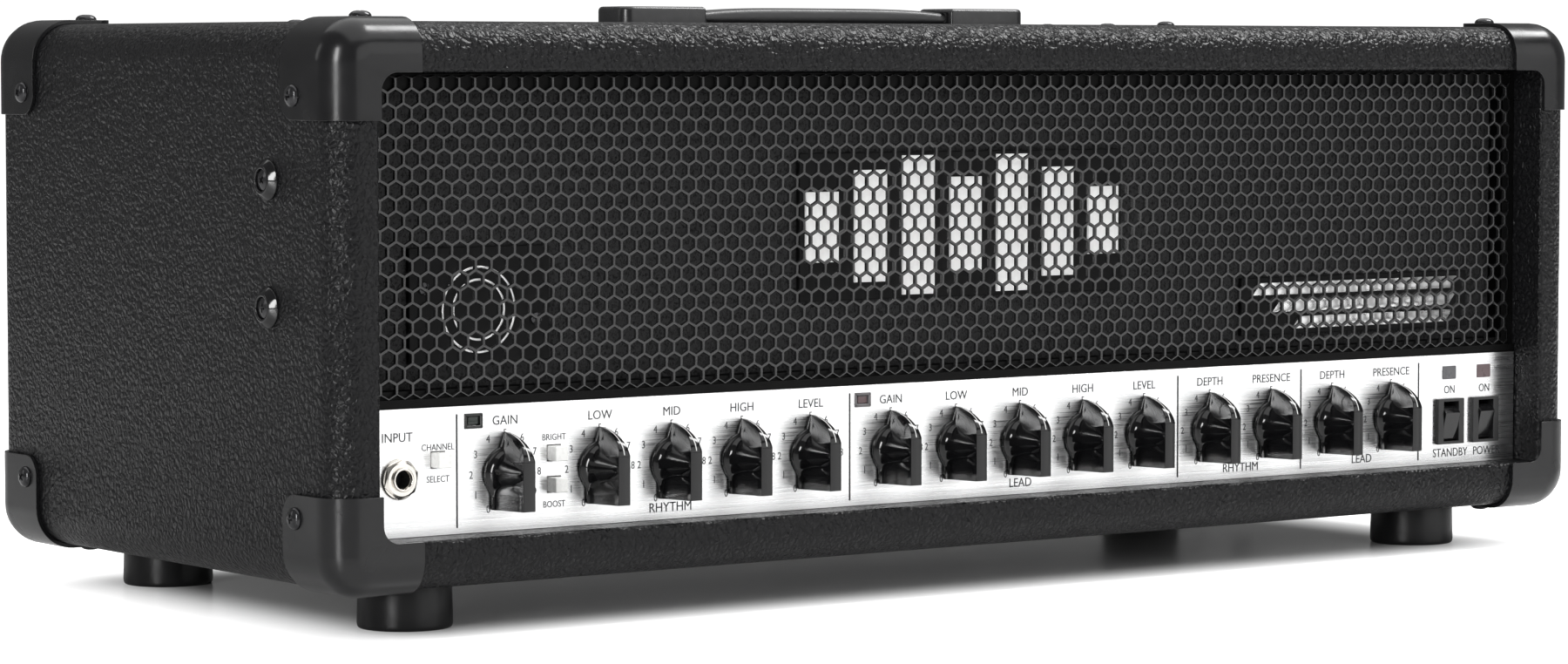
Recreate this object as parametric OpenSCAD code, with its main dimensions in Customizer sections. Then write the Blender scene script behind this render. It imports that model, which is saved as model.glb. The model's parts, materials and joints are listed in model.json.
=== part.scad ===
// Valve guitar amplifier head: wooden cabinet, hexagon grille, control panel, chassis and valves.
// Millimetres. +X is to the right seen from the front, +Y to the back, +Z up.
// The origin is under the middle of the cabinet, on the plane that the feet stand on.

/* [Cabinet] */
// Width over the vinyl
body_w = 670; // [640:1:700]
// Depth over the vinyl
body_d = 284; // [274:1:300]
// Height of the box without feet and handle
body_h = 222; // [218:1:236]
// Wall thickness, wood and both vinyl layers together
wall_t = 20; // [18:0.5:22]
// Thickness of the vinyl covering
vinyl_t = 0.8; // [0.6:0.1:1.2]
// Radius of the edges round the front and the back
edge_r = 13; // [10:0.5:15]
// Radius of the four edges that run from front to back
side_edge_r = 16; // [15:0.5:19]

/* [Corners and feet] */
// Length of a corner protector along each edge
corner_len = 38.5; // [34:0.5:42]
// Sheet thickness of a corner protector
corner_t = 1.8; // [1.2:0.1:2]
// Height of a rubber foot
foot_h = 19; // [16:0.5:24]
// Diameter of a rubber foot
foot_d = 38.5; // [34:0.5:42]
// Distance of a foot's centre from the cabinet's side
foot_in_x = 58; // [50:1:66]
// Distance of a foot's centre from the cabinet's front or back
foot_in_y = 45; // [40:1:56]

/* [Control panel] */
// Depth of the panel's face behind the cabinet's front
panel_in = 15.8; // [14:0.1:17]
// Height of the panel
panel_h = 50.6; // [50:0.1:51]
// Thickness of the panel
panel_t = 2; // [1.5:0.1:2.5]
// Height of the control axes above the cabinet's underside
control_z = 43.2; // [42:0.1:45]

/* [Knobs] */
// Height of a knob over the panel
knob_h = 17.6; // [16:0.1:17.6]
// Radius of the round base
knob_r = 10.5; // [10:0.1:10.8]
// Length of the pointer from the axis
knob_nose = 16.3; // [14:0.1:17]
// Length of the square tail from the axis
knob_tail = 14.4; // [13:0.1:15]
// Width of the pointer's ridge
knob_ridge_w = 5.8; // [5.4:0.1:6.2]
// Width of the square tail at the panel
knob_tail_w = 14.2; // [13:0.1:15]

/* [Handle] */
// Overall length over both caps
handle_len = 223.4; // [210:0.2:240]
// Length of one cap
cap_len = 43.4; // [40:0.2:48]
// Width of a cap
cap_w = 24.5; // [22:0.5:28]
// Height of a cap
cap_h = 8; // [8:0.5:12]
// Width of the strap
strap_w = 18; // [16:0.5:18]
// Thickness of the strap
strap_t = 4.4; // [4:0.1:4.4]

/* [Hidden] */
NODES = [
    "top_board", "bottom_board", "left_side_board", "right_side_board", "vinyl_covering",
    "corner_protectors", "screws", "rubber_feet", "cabinet_bolts", "cup_washers",
    "handle_end_caps", "handle_strap_middle", "handle_strap_left", "handle_strap_right",
    "handle_slider_left", "handle_slider_right",
    "grille_frame", "hex_grille", "backing_board", "badge_plates",
    "front_panel", "chassis", "circuit_board", "filter_capacitors",
    "potentiometers", "control_nuts",
    "knob_rhythm_gain", "knob_rhythm_low", "knob_rhythm_mid", "knob_rhythm_high",
    "knob_rhythm_level", "knob_lead_gain", "knob_lead_low", "knob_lead_mid", "knob_lead_high",
    "knob_lead_level", "knob_rhythm_depth", "knob_rhythm_presence", "knob_lead_depth",
    "knob_lead_presence",
    "input_jack", "channel_button", "bright_button", "crunch_button",
    "switch_housings", "indicator_lenses", "rocker_frames", "standby_rocker", "power_rocker",
    "power_valves", "preamp_valves", "valve_sockets", "power_transformer", "output_transformer",
    "rear_panel", "mains_panel", "rear_guard", "rear_jacks", "mains_inlet_and_fuses", "impedance_slider",
];
$fn = 48;
gap = 0.3;                       // clearance between pieces that move past each other
arc_steps = 8;                   // straight steps in a quarter of a rounded edge

// Heights and depths of the main planes
cab_z = foot_h;                  // underside of the cabinet
top_z = cab_z + body_h;          // top of the cabinet
front_y = -body_d / 2;           // front plane of the cabinet
back_y = body_d / 2;             // back plane of the cabinet
floor_z = cab_z + wall_t;        // upper face of the lined bottom board
ceiling_z = top_z - wall_t;      // lower face of the lined top board
inner_x = body_w / 2 - wall_t;   // inner face of a lined side
panel_y = front_y + panel_in;    // face of the control panel
axis_z = cab_z + control_z;      // height of the control axes

// Chassis
sheet_t = 1.5;
chassis_x = inner_x - 3;         // half width of the chassis
chassis_y0 = panel_y + panel_t;  // front face of the chassis
chassis_y1 = back_y - 14;        // rear face of the chassis
chassis_top = floor_z + 50;      // upper face of the chassis
wall_in_y = chassis_y0 + sheet_t;// inner face of the chassis' front wall
flange_w = 20;                   // foot flange of the chassis
chassis_bolt_x = chassis_x - 9;
chassis_bolt_y = 50;

// Controls, as distances from the middle of the panel
rhythm_gain_x = -248;
tone_x0 = -202.6;                // first rhythm tone knob
tone_pitch = 35.3;
lead_x0 = -54.5;
lead_pitch = 35.15;
rhythm_master_x = 124.6;
lead_master_x = 198.5;
master_pitch = 36.7;
knob_x = concat(
    [rhythm_gain_x],
    [for (i = [0:3]) tone_x0 + i * tone_pitch],
    [for (i = [0:4]) lead_x0 + i * lead_pitch],
    [for (i = [0:1]) rhythm_master_x + i * master_pitch],
    [for (i = [0:1]) lead_master_x + i * master_pitch]);
knob_names = [for (i = [26:39]) NODES[i]];
jack_x = -297.5;
button_w = 6;
button_out = 6;                  // how far a button stands out
button_travel = 3;
button_in = 8;                   // how far a button reaches behind the chassis' front wall
button_fit = 0.8;                // clearance over both sides of a button
housing_w = 9;
housing_deep = 18;
channel_button_at = [-279.5, cab_z + 50];
bright_button_at = [-224.8, cab_z + 50];
crunch_button_at = [-224.8, cab_z + 37.4];
button_at = [channel_button_at, bright_button_at, crunch_button_at];
lens_w = 8.5;
lens_h = 6;
lens_at = [[-262.9, cab_z + 64.5], [-69.5, cab_z + 64.5], [272.1, cab_z + 62.3], [294.3, cab_z + 62.3]];
rocker_at = [[271.9, cab_z + 39.8], [294.3, cab_z + 39.8]];

// Potentiometer, jack and rocker sizes
pot_r = 8;
pot_depth = 9;
bush_r = 3.5;
bush_out = 5;                    // bushing length in front of the panel
shaft_r = 3;
pot_nut_w = 10;                  // across the flats
pot_washer_r = 6;
pot_washer_t = 0.6;
nut_t = 2;
shaft_in = 4;                    // how far a shaft goes into its potentiometer
knob_shoulder = 5.4;             // front end of the ridge's level part
knob_cavity_r = 6.4;             // room for the nut and the washer under a knob
shaft_cover = 3.5;               // plastic over the end of a shaft
jack_bush_r = 4.75;
jack_bore_r = 3.25;              // takes a 6.35 mm plug
jack_out = 4;
jack_deep = 22;
jack_body_w = 20;
jack_body_h = 16;
jack_nut_w = 14;                 // across the flats
jack_washer_r = 8.2;
jack_washer_t = 0.8;
rocker_w = 9;
rocker_half_h = 7.7;
rocker_face = 5.5;               // ridge of the rocker in front of its pivot
rocker_ridge_z = 5.2;            // ridge of the rocker above its pivot
rocker_tilt = 12;                // rest tilt, lower end pressed in
rocker_pivot_in = 3.2;           // pivot behind the panel's face
bezel_w = 16.5;
bezel_h = 21;
bezel_t = 2;
rocker_body_deep = 18;           // body of the switch behind the panel's face
rocker_cavity_h = 18.4;
rocker_cavity_deep = 10;
frame_w = 13;
frame_h = 19.2;
pin_r = 1.2;

// Fasteners
screw_r = 1.75;
screw_head_r = 4;
screw_head_h = 2.4;
screw_len = 15;
foot_head_z = 11;                // face of a foot screw's head below the cabinet
corner_screw_in = 29;            // screw from each edge of the cabinet
bolt_r = 2.5;
nut_r = 4.6;                     // corner radius of a bolt's nut
bolt_nut_t = 3.2;
pan_head_r = 5.5;                // chassis bolts
pan_head_h = 2.6;
top_head_r = 4.7;                // bolts in the top
cup_r = 8.2;
cup_top_r = 5.2;
cup_h = 3.4;
side_bolt_y = front_y + 51;
side_bolt_z = [cab_z + 110, cab_z + 160];
top_bolt_x = 213;
top_bolt_y = [back_y - 93, back_y - 47.5];

// Strap handle: the middle lifts, two links slope and two end pieces slide in the caps
mouth_x = handle_len / 2 - cap_len;    // open end of a cap
link_out_x = mouth_x - 3.5;            // hinge between link and slider
link_in_x = 8;                         // hinge between middle and link
strap_z0 = top_z + 1.6;                // underside of the strap
strap_mid_z = strap_z0 + strap_t / 2;
slider_end_x = handle_len / 2 - 6;
cap_screw_x = handle_len / 2 - 17;
boss_r = 3.2;

// Grille
grille_z0 = cab_z + 74.4;
grille_t = 1.5;
grille_y = panel_y + 0.5;
frame_y1 = panel_y + 11.2;
backing_t = 3;

// Valves, capacitors and transformers, on top of the chassis
power_valve_x = [for (i = [0:3]) -85 + 50 * i];
power_valve_y = 55;
preamp_valve_x = [for (i = [0:5]) -140 + 44 * i];
preamp_valve_y = -45;
socket_h = 8;
power_socket_r = 13.5;
preamp_socket_r = 9;
socket_fit = 0.2;
power_key_r = 3.9;
preamp_key_r = 2.5;
valve_key = 5;                   // how far a valve's key goes below the chassis' top
capacitor_at = [for (i = [0:3]) [122, -75 + 38 * i]];
board_x = 275;                   // half length of the circuit board
board_y = [-85, 100];
board_lift = 9;                  // underside of the board above the cabinet's floor
board_t = 1.6;
power_iron = [100, 88, 82];      // width, depth and height of the mains transformer
power_iron_at = [222, 20];
output_iron = [82, 72, 68];
output_iron_at = [-222, 30];

// Rear connectors, as distances from the middle
rear_jack_x = [-230, -195, 60, 95];
inlet_x = 235;
inlet_w = 27;
inlet_h = 20;
blade_in = 6;                    // tips of the inlet's blades behind the rear panel
inlet_screw_dx = 20;
inlet_screw_r = 1.5;
inlet_deep = 20;
inlet_flange = [50, 23, 2.4];
fuse_r = 6;
mains_panel_x = 150;             // seam between the two rear sheets
selector_x = -150;
selector_w = 6;
selector_h = 4.4;
selector_travel = 4;
selector_slot_w = selector_w + 2 * selector_travel + 2;
selector_in = 10;                // how far the selector reaches behind the rear panel
selector_body_w = 22;
selector_body_h = 10;
fuse_at = [[inlet_x - 46, axis_z - 9], [inlet_x - 46, axis_z + 11]];

// ---------------------------------------------------------------- helpers

function arc(cx, cy, r, a0) =
    [for (i = [0:arc_steps]) let (a = a0 + 90 * i / arc_steps) [cx + r * cos(a), cy + r * sin(a)]];

function round_rect(w, h, r) = concat(
    arc(w / 2 - r, h / 2 - r, r, 0), arc(r - w / 2, h / 2 - r, r, 90),
    arc(r - w / 2, r - h / 2, r, 180), arc(w / 2 - r, r - h / 2, r, 270));

// The cabinet's outline grown by extra on every side, with all edges and corners rounded
module rounded_box(extra) {
    w = body_w + 2 * extra;
    d = body_d + 2 * extra;
    h = body_h + 2 * extra;
    r = edge_r + extra;
    big_r = side_edge_r + extra;
    section = concat([[0, -d / 2]], arc(big_r - r, r - d / 2, r, 270),
                     arc(big_r - r, d / 2 - r, r, 0), [[0, d / 2]]);
    translate([0, 0, cab_z + body_h / 2]) union() {
        translate([big_r - w / 2, 0, 0]) rotate([90, 0, 90])
            linear_extrude(w - 2 * big_r) polygon(round_rect(d, h, r));
        translate([0, 0, big_r - h / 2])
            linear_extrude(h - 2 * big_r) polygon(round_rect(w, d, r));
        for (sx = [0, 1], sz = [0, 1]) mirror([sx, 0, 0]) mirror([0, 0, sz])
            translate([w / 2 - big_r, 0, h / 2 - big_r]) rotate([90, 0, 0])
                rotate_extrude(angle = 90) polygon(section);
    }
}

module box(x0, x1, y0, y1, z0, z1) {
    translate([x0, y0, z0]) cube([x1 - x0, y1 - y0, z1 - z0]);
}

// Rod along +Y from y0 to y1
module rod_y(x, z, r, y0, y1, sides = 48) {
    translate([x, y1, z]) rotate([90, 0, 0]) cylinder(h = y1 - y0, r = r, $fn = sides);
}

// Hexagonal prism along Y, given its size across the flats
module hex_y(x, z, flats, y0, y1) {
    translate([x, y1, z]) rotate([90, 0, 0]) cylinder(h = y1 - y0, r = flats / sqrt(3), $fn = 6);
}

// Repeats the front left top corner at all eight corners of the cabinet
module at_corners() {
    translate([0, 0, cab_z + body_h / 2])
        for (mx = [0, 1], my = [0, 1], mz = [0, 1])
            mirror([mx, 0, 0]) mirror([0, my, 0]) mirror([0, 0, mz]) children();
}

// ---------------------------------------------------------------- cabinet

// Negative of every screw and bolt that goes through the wood and the vinyl
module cabinet_holes() {
    at_corners() corner_screw_shanks();
    for (sx = [-1, 1], sy = [-1, 1])
        translate([sx * (body_w / 2 - foot_in_x), sy * (back_y - foot_in_y), cab_z - 1])
            cylinder(h = 14, r = screw_r);
    for (sx = [-1, 1], z = side_bolt_z) translate([sx * body_w / 2, side_bolt_y, z])
        rotate([0, 90, 0]) cylinder(h = 3 * wall_t, r = bolt_r, center = true);
    for (sx = [-1, 1], y = top_bolt_y) translate([sx * top_bolt_x, y, top_z])
        cylinder(h = 3 * wall_t, r = bolt_r, center = true);
    for (sx = [-1, 1], sy = [-1, 1]) translate([sx * chassis_bolt_x, sy * chassis_bolt_y, cab_z])
        cylinder(h = 3 * wall_t, r = bolt_r, center = true);
    for (sx = [-1, 1]) translate([sx * cap_screw_x, 0, top_z - screw_len])
        cylinder(h = screw_len + 1, r = screw_r);
}

// Two screws of one corner protector, in the centred frame of at_corners()
module corner_screw_shanks() {
    x = -body_w / 2;
    y = front_y;
    z = body_h / 2;
    long = screw_len + corner_t + 1;
    translate([x - corner_t - 1, y + corner_screw_in, z - corner_screw_in]) rotate([0, 90, 0])
        cylinder(h = long, r = screw_r);
    translate([x + corner_screw_in, y + corner_screw_in, z - screw_len])
        cylinder(h = long, r = screw_r);
}

module corner_screw_heads() {
    x = -body_w / 2 - corner_t;
    y = front_y;
    z = body_h / 2 + corner_t;
    translate([x, y + corner_screw_in, z - corner_t - corner_screw_in]) rotate([0, -90, 0])
        cylinder(h = screw_head_h, r1 = screw_head_r, r2 = screw_head_r - 1.6);
    translate([x + corner_t + corner_screw_in, y + corner_screw_in, z])
        cylinder(h = screw_head_h, r1 = screw_head_r, r2 = screw_head_r - 1.6);
}

// The wooden box: rounded outside, open through from front to back
module wood_body() {
    difference() {
        rounded_box(-vinyl_t);
        box(-inner_x - vinyl_t, inner_x + vinyl_t, front_y - 1, back_y + 1,
            floor_z - vinyl_t, ceiling_z + vinyl_t);
    }
}

finger_count = 7;
finger_w = body_d / finger_count;

// Every second finger of the corner joints
module joint_fingers(first) {
    for (i = [first:2:finger_count - 1])
        box(-body_w / 2, body_w / 2, front_y + i * finger_w, front_y + (i + 1) * finger_w,
            cab_z, top_z);
}

module board_zone(upper) {
    box(-body_w / 2, body_w / 2, front_y, back_y,
        upper ? ceiling_z + vinyl_t : cab_z, upper ? top_z : floor_z - vinyl_t);
}

// Horizontal board: full width on its own fingers, between the sides elsewhere
module level_board(upper) {
    color("burlywood") difference() {
        intersection() {
            wood_body();
            board_zone(upper);
            union() {
                joint_fingers(0);
                box(-inner_x - vinyl_t, inner_x + vinyl_t, front_y, back_y, cab_z, top_z);
            }
        }
        cabinet_holes();
    }
}

// Upright board: full height on the other fingers, between the level boards elsewhere
module side_board(side) {
    x0 = side < 0 ? -body_w / 2 : inner_x + vinyl_t;
    color("burlywood") difference() {
        intersection() {
            wood_body();
            box(x0, x0 + wall_t - vinyl_t, front_y, back_y, cab_z, top_z);
            union() {
                joint_fingers(1);
                box(x0, x0 + wall_t, front_y, back_y, floor_z - vinyl_t, ceiling_z + vinyl_t);
            }
        }
        cabinet_holes();
    }
}

module top_board() level_board(true);
module bottom_board() level_board(false);
module left_side_board() side_board(-1);
module right_side_board() side_board(1);

module vinyl_covering() {
    color("dimgray") difference() {
        rounded_box(0);
        wood_body();
        box(-inner_x, inner_x, front_y - 1, back_y + 1, floor_z, ceiling_z);
        cabinet_holes();
    }
}

// Outline of a flange on a side or top face: a square with one rounded free corner
function flange_outline(len, r, far) = concat(
    [[-far, far]], [[-far, -len]], arc(len - r, r - len, r, 270), [[len, far]]);

// Outline of the front flange: an L round the mouth of the cabinet, with a round inner corner
function mouth_outline(len, wide, r, far) = concat(
    [[-far, far], [-far, -len], [wide, -len]],
    [for (i = [0:arc_steps]) let (a = 180 - 90 * i / arc_steps)
        [wide + r + r * cos(a), -wide - r + r * sin(a)]],
    [[len, -wide], [len, far]]);

module corner_protector() {
    x = -body_w / 2;
    y = front_y;
    z = body_h / 2;
    far = corner_t + 2;
    round_r = 9;
    intersection() {
        difference() {
            translate([0, 0, -cab_z - z]) rounded_box(corner_t);
            translate([0, 0, -cab_z - z]) rounded_box(0);
            corner_screw_shanks();
        }
        translate([x, y, z]) union() {
            translate([edge_r, 0, 0]) rotate([90, 0, 90]) mirror([0, 0, 1])
                linear_extrude(edge_r + far) polygon(flange_outline(corner_len, round_r, far));
            translate([0, 0, -edge_r]) mirror([0, 1, 0])
                linear_extrude(edge_r + far) polygon(flange_outline(corner_len, round_r, far));
            translate([0, edge_r, 0]) rotate([90, 0, 0])
                linear_extrude(edge_r + far) polygon(mouth_outline(corner_len, wall_t, 7, far));
        }
    }
}

module corner_protectors() {
    color([0.1, 0.1, 0.1]) at_corners() corner_protector();
}

module foot_screw_at(sx, sy) {
    translate([sx * (body_w / 2 - foot_in_x), sy * (back_y - foot_in_y), cab_z]) children();
}

module screws() {
    color([0.15, 0.15, 0.15]) {
        at_corners() union() {
            corner_screw_shanks();
            corner_screw_heads();
        }
        for (sx = [-1, 1], sy = [-1, 1]) foot_screw_at(sx, sy) union() {
            translate([0, 0, -foot_head_z]) cylinder(h = screw_head_h, r = screw_head_r);
            translate([0, 0, -foot_head_z]) cylinder(h = foot_head_z + 12, r = screw_r);
        }
        for (sx = [-1, 1]) translate([sx * cap_screw_x, 0, top_z]) union() {
            translate([0, 0, 2 - screw_len]) cylinder(h = cap_h + screw_len - 3, r = screw_r);
            translate([0, 0, cap_h - 2]) cylinder(h = 2, r1 = screw_r, r2 = screw_head_r - 0.5);
        }
        for (s = [-1, 1]) union() {
            rod_y(inlet_x + s * inlet_screw_dx, axis_z, 2 * inlet_screw_r,
                  chassis_y1 + inlet_flange[2], chassis_y1 + inlet_flange[2] + 1.8);
            rod_y(inlet_x + s * inlet_screw_dx, axis_z, inlet_screw_r, chassis_y1 - 6, chassis_y1 + 3);
        }
    }
}

module rubber_feet() {
    r = foot_d / 2;
    color([0.06, 0.06, 0.06])
        for (sx = [-1, 1], sy = [-1, 1]) foot_screw_at(sx, sy) difference() {
            translate([0, 0, -foot_h]) rotate_extrude()
                polygon([[0, 0], [r - 2, 0], [r - 0.6, 0.6], [r, 2], [r, foot_h], [0, foot_h]]);
            translate([0, 0, -foot_h - 1])
                cylinder(h = foot_h + 1 - foot_head_z + screw_head_h, r = screw_head_r + 1);
            translate([0, 0, -foot_head_z - 1]) cylinder(h = foot_head_z + 2, r = screw_r);
        }
}

// Bolt along +Z from its head seat at z = 0 down to the nut
module cup_bolt() {
    grip = wall_t + 2;
    union() {
        translate([0, 0, 0.8]) cylinder(h = 2.2, r = cup_top_r - 1);
        translate([0, 0, -grip - 4]) cylinder(h = grip + 5, r = bolt_r);
        translate([0, 0, -grip - bolt_nut_t]) cylinder(h = bolt_nut_t, r = nut_r, $fn = 6);
    }
}

// Pan head bolt along +Z that holds the rear guard under the top
module top_bolt() {
    union() {
        cylinder(h = pan_head_h, r1 = top_head_r, r2 = top_head_r - 1.8);
        translate([0, 0, -wall_t - sheet_t - 4]) cylinder(h = wall_t + sheet_t + 5, r = bolt_r);
        translate([0, 0, -wall_t - sheet_t - bolt_nut_t])
            cylinder(h = bolt_nut_t, r = nut_r, $fn = 6);
    }
}

module cup_washer() {
    rotate_extrude() polygon([[bolt_r, 0], [cup_r, 0], [cup_r, 0.6], [cup_top_r, cup_h],
                              [cup_top_r - 1, cup_h], [cup_top_r - 1, 0.8], [bolt_r, 0.8]]);
}

// The child stands on the outside of the cabinet at each bolt
module at_side_bolts() {
    for (sx = [-1, 1], z = side_bolt_z)
        translate([sx * body_w / 2, side_bolt_y, z]) rotate([0, sx * 90, 0]) children();
}

module at_top_bolts() {
    for (sx = [-1, 1], y = top_bolt_y) translate([sx * top_bolt_x, y, top_z]) children();
}

// Bolt from under the cabinet through the bottom board and the chassis' flange
module chassis_bolt() {
    union() {
        translate([0, 0, -pan_head_h]) cylinder(h = pan_head_h, r = pan_head_r);
        translate([0, 0, -1]) cylinder(h = wall_t + 8, r = bolt_r);
        translate([0, 0, wall_t + sheet_t]) cylinder(h = bolt_nut_t, r = nut_r, $fn = 6);
    }
}

module cabinet_bolts() {
    color([0.2, 0.2, 0.2]) {
        at_side_bolts() cup_bolt();
        at_top_bolts() top_bolt();
        for (sx = [-1, 1], sy = [-1, 1])
            translate([sx * chassis_bolt_x, sy * chassis_bolt_y, cab_z]) chassis_bolt();
    }
}

module cup_washers() {
    color([0.12, 0.12, 0.12]) at_side_bolts() cup_washer();
}

// ---------------------------------------------------------------- handle

module handle_cap() {
    x1 = handle_len / 2;
    difference() {
        translate([mouth_x, -cap_w / 2, top_z]) cube([cap_len, cap_w, cap_h]);
        difference() {
            box(mouth_x - 1, x1 - 2, -strap_w / 2 - 0.6, strap_w / 2 + 0.6,
                top_z - 1, strap_z0 + strap_t + 0.4);
            translate([cap_screw_x, 0, top_z - 1]) cylinder(h = cap_h, r = boss_r);
        }
        translate([cap_screw_x, 0, top_z - 1]) cylinder(h = cap_h + 2, r = screw_r);
        translate([cap_screw_x, 0, top_z + cap_h - 2])
            cylinder(h = 2, r1 = screw_r, r2 = screw_head_r - 0.5);
        for (sy = [-1, 1]) translate([x1, sy * cap_w / 2, top_z + cap_h / 2])
            rotate([0, 0, 45]) cube([3, 3, cap_h + 2], center = true);
    }
}

module handle_end_caps() {
    color([0.12, 0.12, 0.12]) {
        handle_cap();
        mirror([1, 0, 0]) handle_cap();
    }
}

// Round knuckle of the strap at x; the socket version is wider by the clearance
module knuckle(x, extra) {
    translate([x, 0, strap_mid_z]) rotate([90, 0, 0])
        cylinder(h = strap_w + 2 * extra, r = strap_t / 2 + extra, center = true);
}

module strap_piece(x0, x1) {
    box(x0, x1, -strap_w / 2, strap_w / 2, strap_z0, strap_z0 + strap_t);
}

module handle_strap_middle() {
    color([0.08, 0.08, 0.08]) difference() {
        strap_piece(-link_in_x, link_in_x);
        for (s = [-1, 1]) knuckle(s * link_in_x, gap);
    }
}

module strap_link() {
    union() {
        strap_piece(link_in_x, link_out_x);
        knuckle(link_in_x, 0);
        knuckle(link_out_x, 0);
    }
}

module handle_strap_right() color([0.08, 0.08, 0.08]) strap_link();
module handle_strap_left() color([0.08, 0.08, 0.08]) mirror([1, 0, 0]) strap_link();

module strap_slider() {
    slot_r = boss_r + 0.4;
    slot_run = 3.4;              // the slider comes 3 mm inward when the middle is lifted
    difference() {
        strap_piece(link_out_x, slider_end_x);
        knuckle(link_out_x, gap);
        for (dx = [0, slot_run]) translate([cap_screw_x + dx, 0, strap_z0 - 1])
            cylinder(h = strap_t + 2, r = slot_r);
        box(cap_screw_x, cap_screw_x + slot_run, -slot_r, slot_r, strap_z0 - 1,
            strap_z0 + strap_t + 1);
    }
}

module handle_slider_right() color([0.08, 0.08, 0.08]) strap_slider();
module handle_slider_left() color([0.08, 0.08, 0.08]) mirror([1, 0, 0]) strap_slider();

// ---------------------------------------------------------------- grille

module grille_frame() {
    bar = 7;
    x1 = inner_x - 0.5;
    color([0.08, 0.08, 0.08]) {
        union() {
            difference() {
                box(-x1, x1, panel_y + panel_t, frame_y1, chassis_top + 0.8, ceiling_z - 0.5);
                box(bar - x1, x1 - bar, panel_y, frame_y1 + 1, grille_z0 + 3, ceiling_z - 0.5 - bar);
            }
            box(-x1, x1, grille_y, frame_y1, chassis_top + 1.1, grille_z0 - 0.2);
            for (s = [-1, 1]) side_bracket(s, x1);
        }
    }
}

// Flange along the inside of a cabinet side, for the two bolts
module side_bracket(s, x1) {
    thick = 2;
    x0 = s > 0 ? x1 + 0.5 - thick : -x1 - 0.5;
    difference() {
        box(x0, x0 + thick, frame_y1 - 2, side_bolt_y + 12, side_bolt_z[0] - 14,
            side_bolt_z[1] + 14);
        for (z = side_bolt_z) translate([s * x1, side_bolt_y, z]) rotate([0, 90, 0])
            cylinder(h = 20, r = bolt_r, center = true);
    }
}

// Plain sheet in the outline of the perforated grille
module hex_grille() {
    x1 = inner_x - 1;
    color([0.15, 0.15, 0.15])
        box(-x1, x1, grille_y, grille_y + grille_t, grille_z0, ceiling_z - 1);
}

module backing_board() {
    x1 = inner_x - 2.5;
    color([0.05, 0.05, 0.05])
        box(-x1, x1, frame_y1, frame_y1 + backing_t, chassis_top + 1, ceiling_z - 1);
}

// Plates behind the grille: x, z of the middle, width, height
badges = [[-8, cab_z + 137, 176, 62], [221, cab_z + 96, 140, 26], [-254, cab_z + 110, 66, 46]];

module badge_plates() {
    color([0.07, 0.07, 0.07]) for (b = badges)
        box(b[0] - b[2] / 2, b[0] + b[2] / 2, frame_y1 - 2.5, frame_y1,
            b[1] - b[3] / 2, b[1] + b[3] / 2);
}

// ---------------------------------------------------------------- panel and chassis

// Openings for all controls, bigger by extra, from y0 to y1
module control_openings(y0, y1, extra) {
    for (x = knob_x) rod_y(x, axis_z, bush_r + 0.2 + extra, y0, y1);
    rod_y(jack_x, axis_z, jack_bush_r + 0.15 + extra, y0, y1);
    for (b = button_at)
        slot_y(b, button_w + button_fit + 2 * extra, button_w + button_fit + 2 * extra, y0, y1);
    for (l = lens_at) slot_y(l, lens_w + 2 * extra, lens_h + 2 * extra, y0, y1);
    for (r = rocker_at) slot_y(r, frame_w + 0.2 + 2 * extra, frame_h + 0.2 + 2 * extra, y0, y1);
}

module slot_y(at, w, h, y0, y1) {
    box(at[0] - w / 2, at[0] + w / 2, y0, y1, at[1] - h / 2, at[1] + h / 2);
}

module front_panel() {
    x1 = inner_x - 1;
    color("silver") difference() {
        box(-x1, x1, panel_y, panel_y + panel_t, floor_z + 0.1, floor_z + panel_h);
        control_openings(panel_y - 1, panel_y + panel_t + 1, 0);
    }
}

// Folded tray, open below and at the back
module chassis() {
    t = sheet_t;
    y1 = chassis_y1 - t;
    color("gray") difference() {
        union() {
            difference() {
                box(-chassis_x, chassis_x, chassis_y0, y1, floor_z, chassis_top);
                box(t - chassis_x, chassis_x - t, chassis_y0 + t, y1 + 1,
                    floor_z - 1, chassis_top - t);
            }
            for (s = [-1, 1]) box(s > 0 ? chassis_x - flange_w : t - chassis_x - 1,
                                  s > 0 ? chassis_x - t + 1 : flange_w - chassis_x,
                                  chassis_y0 + 30, y1 - 30, floor_z, floor_z + t);
        }
        control_openings(chassis_y0 - 1, wall_in_y + 1, 0.3);
        for (x = power_valve_x) translate([x, power_valve_y, chassis_top])
            cylinder(h = socket_h, r = power_socket_r + socket_fit, center = true);
        for (x = preamp_valve_x) translate([x, preamp_valve_y, chassis_top])
            cylinder(h = socket_h, r = preamp_socket_r + socket_fit, center = true);
        for (sx = [-1, 1], sy = [-1, 1])
            translate([sx * chassis_bolt_x, sy * chassis_bolt_y, floor_z])
                cylinder(h = 8, r = bolt_r, center = true);
    }
}

module circuit_board() {
    z0 = floor_z + board_lift;
    z1 = z0 + board_t;
    color("darkgreen") union() {
        difference() {
            box(-board_x, board_x, board_y[0], board_y[1], z0, z1);
            for (x = power_valve_x) translate([x, power_valve_y, z0])
                cylinder(h = 9, r = 6, center = true);
        }
        for (i = [0:9]) box(-250 + 52 * i, -236 + 52 * i, -60, -38, z1 - 0.6, z1 + 7.4);
        for (i = [0:6]) box(-240 + 75 * i, -218 + 75 * i, -10, -2, z1 - 0.6, z1 + 6.4);
    }
    color("silver") for (x = [-265, -90, 90, 265], y = [board_y[0] + 7, board_y[1] - 8])
        translate([x, y, floor_z]) cylinder(h = board_lift, r = 3, $fn = 6);
}

module filter_capacitors() {
    color("midnightblue") for (c = capacitor_at) translate([c[0], c[1], chassis_top])
        rotate_extrude() polygon([[0, 0], [15, 0], [15, 2], [14.4, 3], [15, 4], [15, 38],
                                  [14, 39], [0, 39]]);
}

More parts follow.
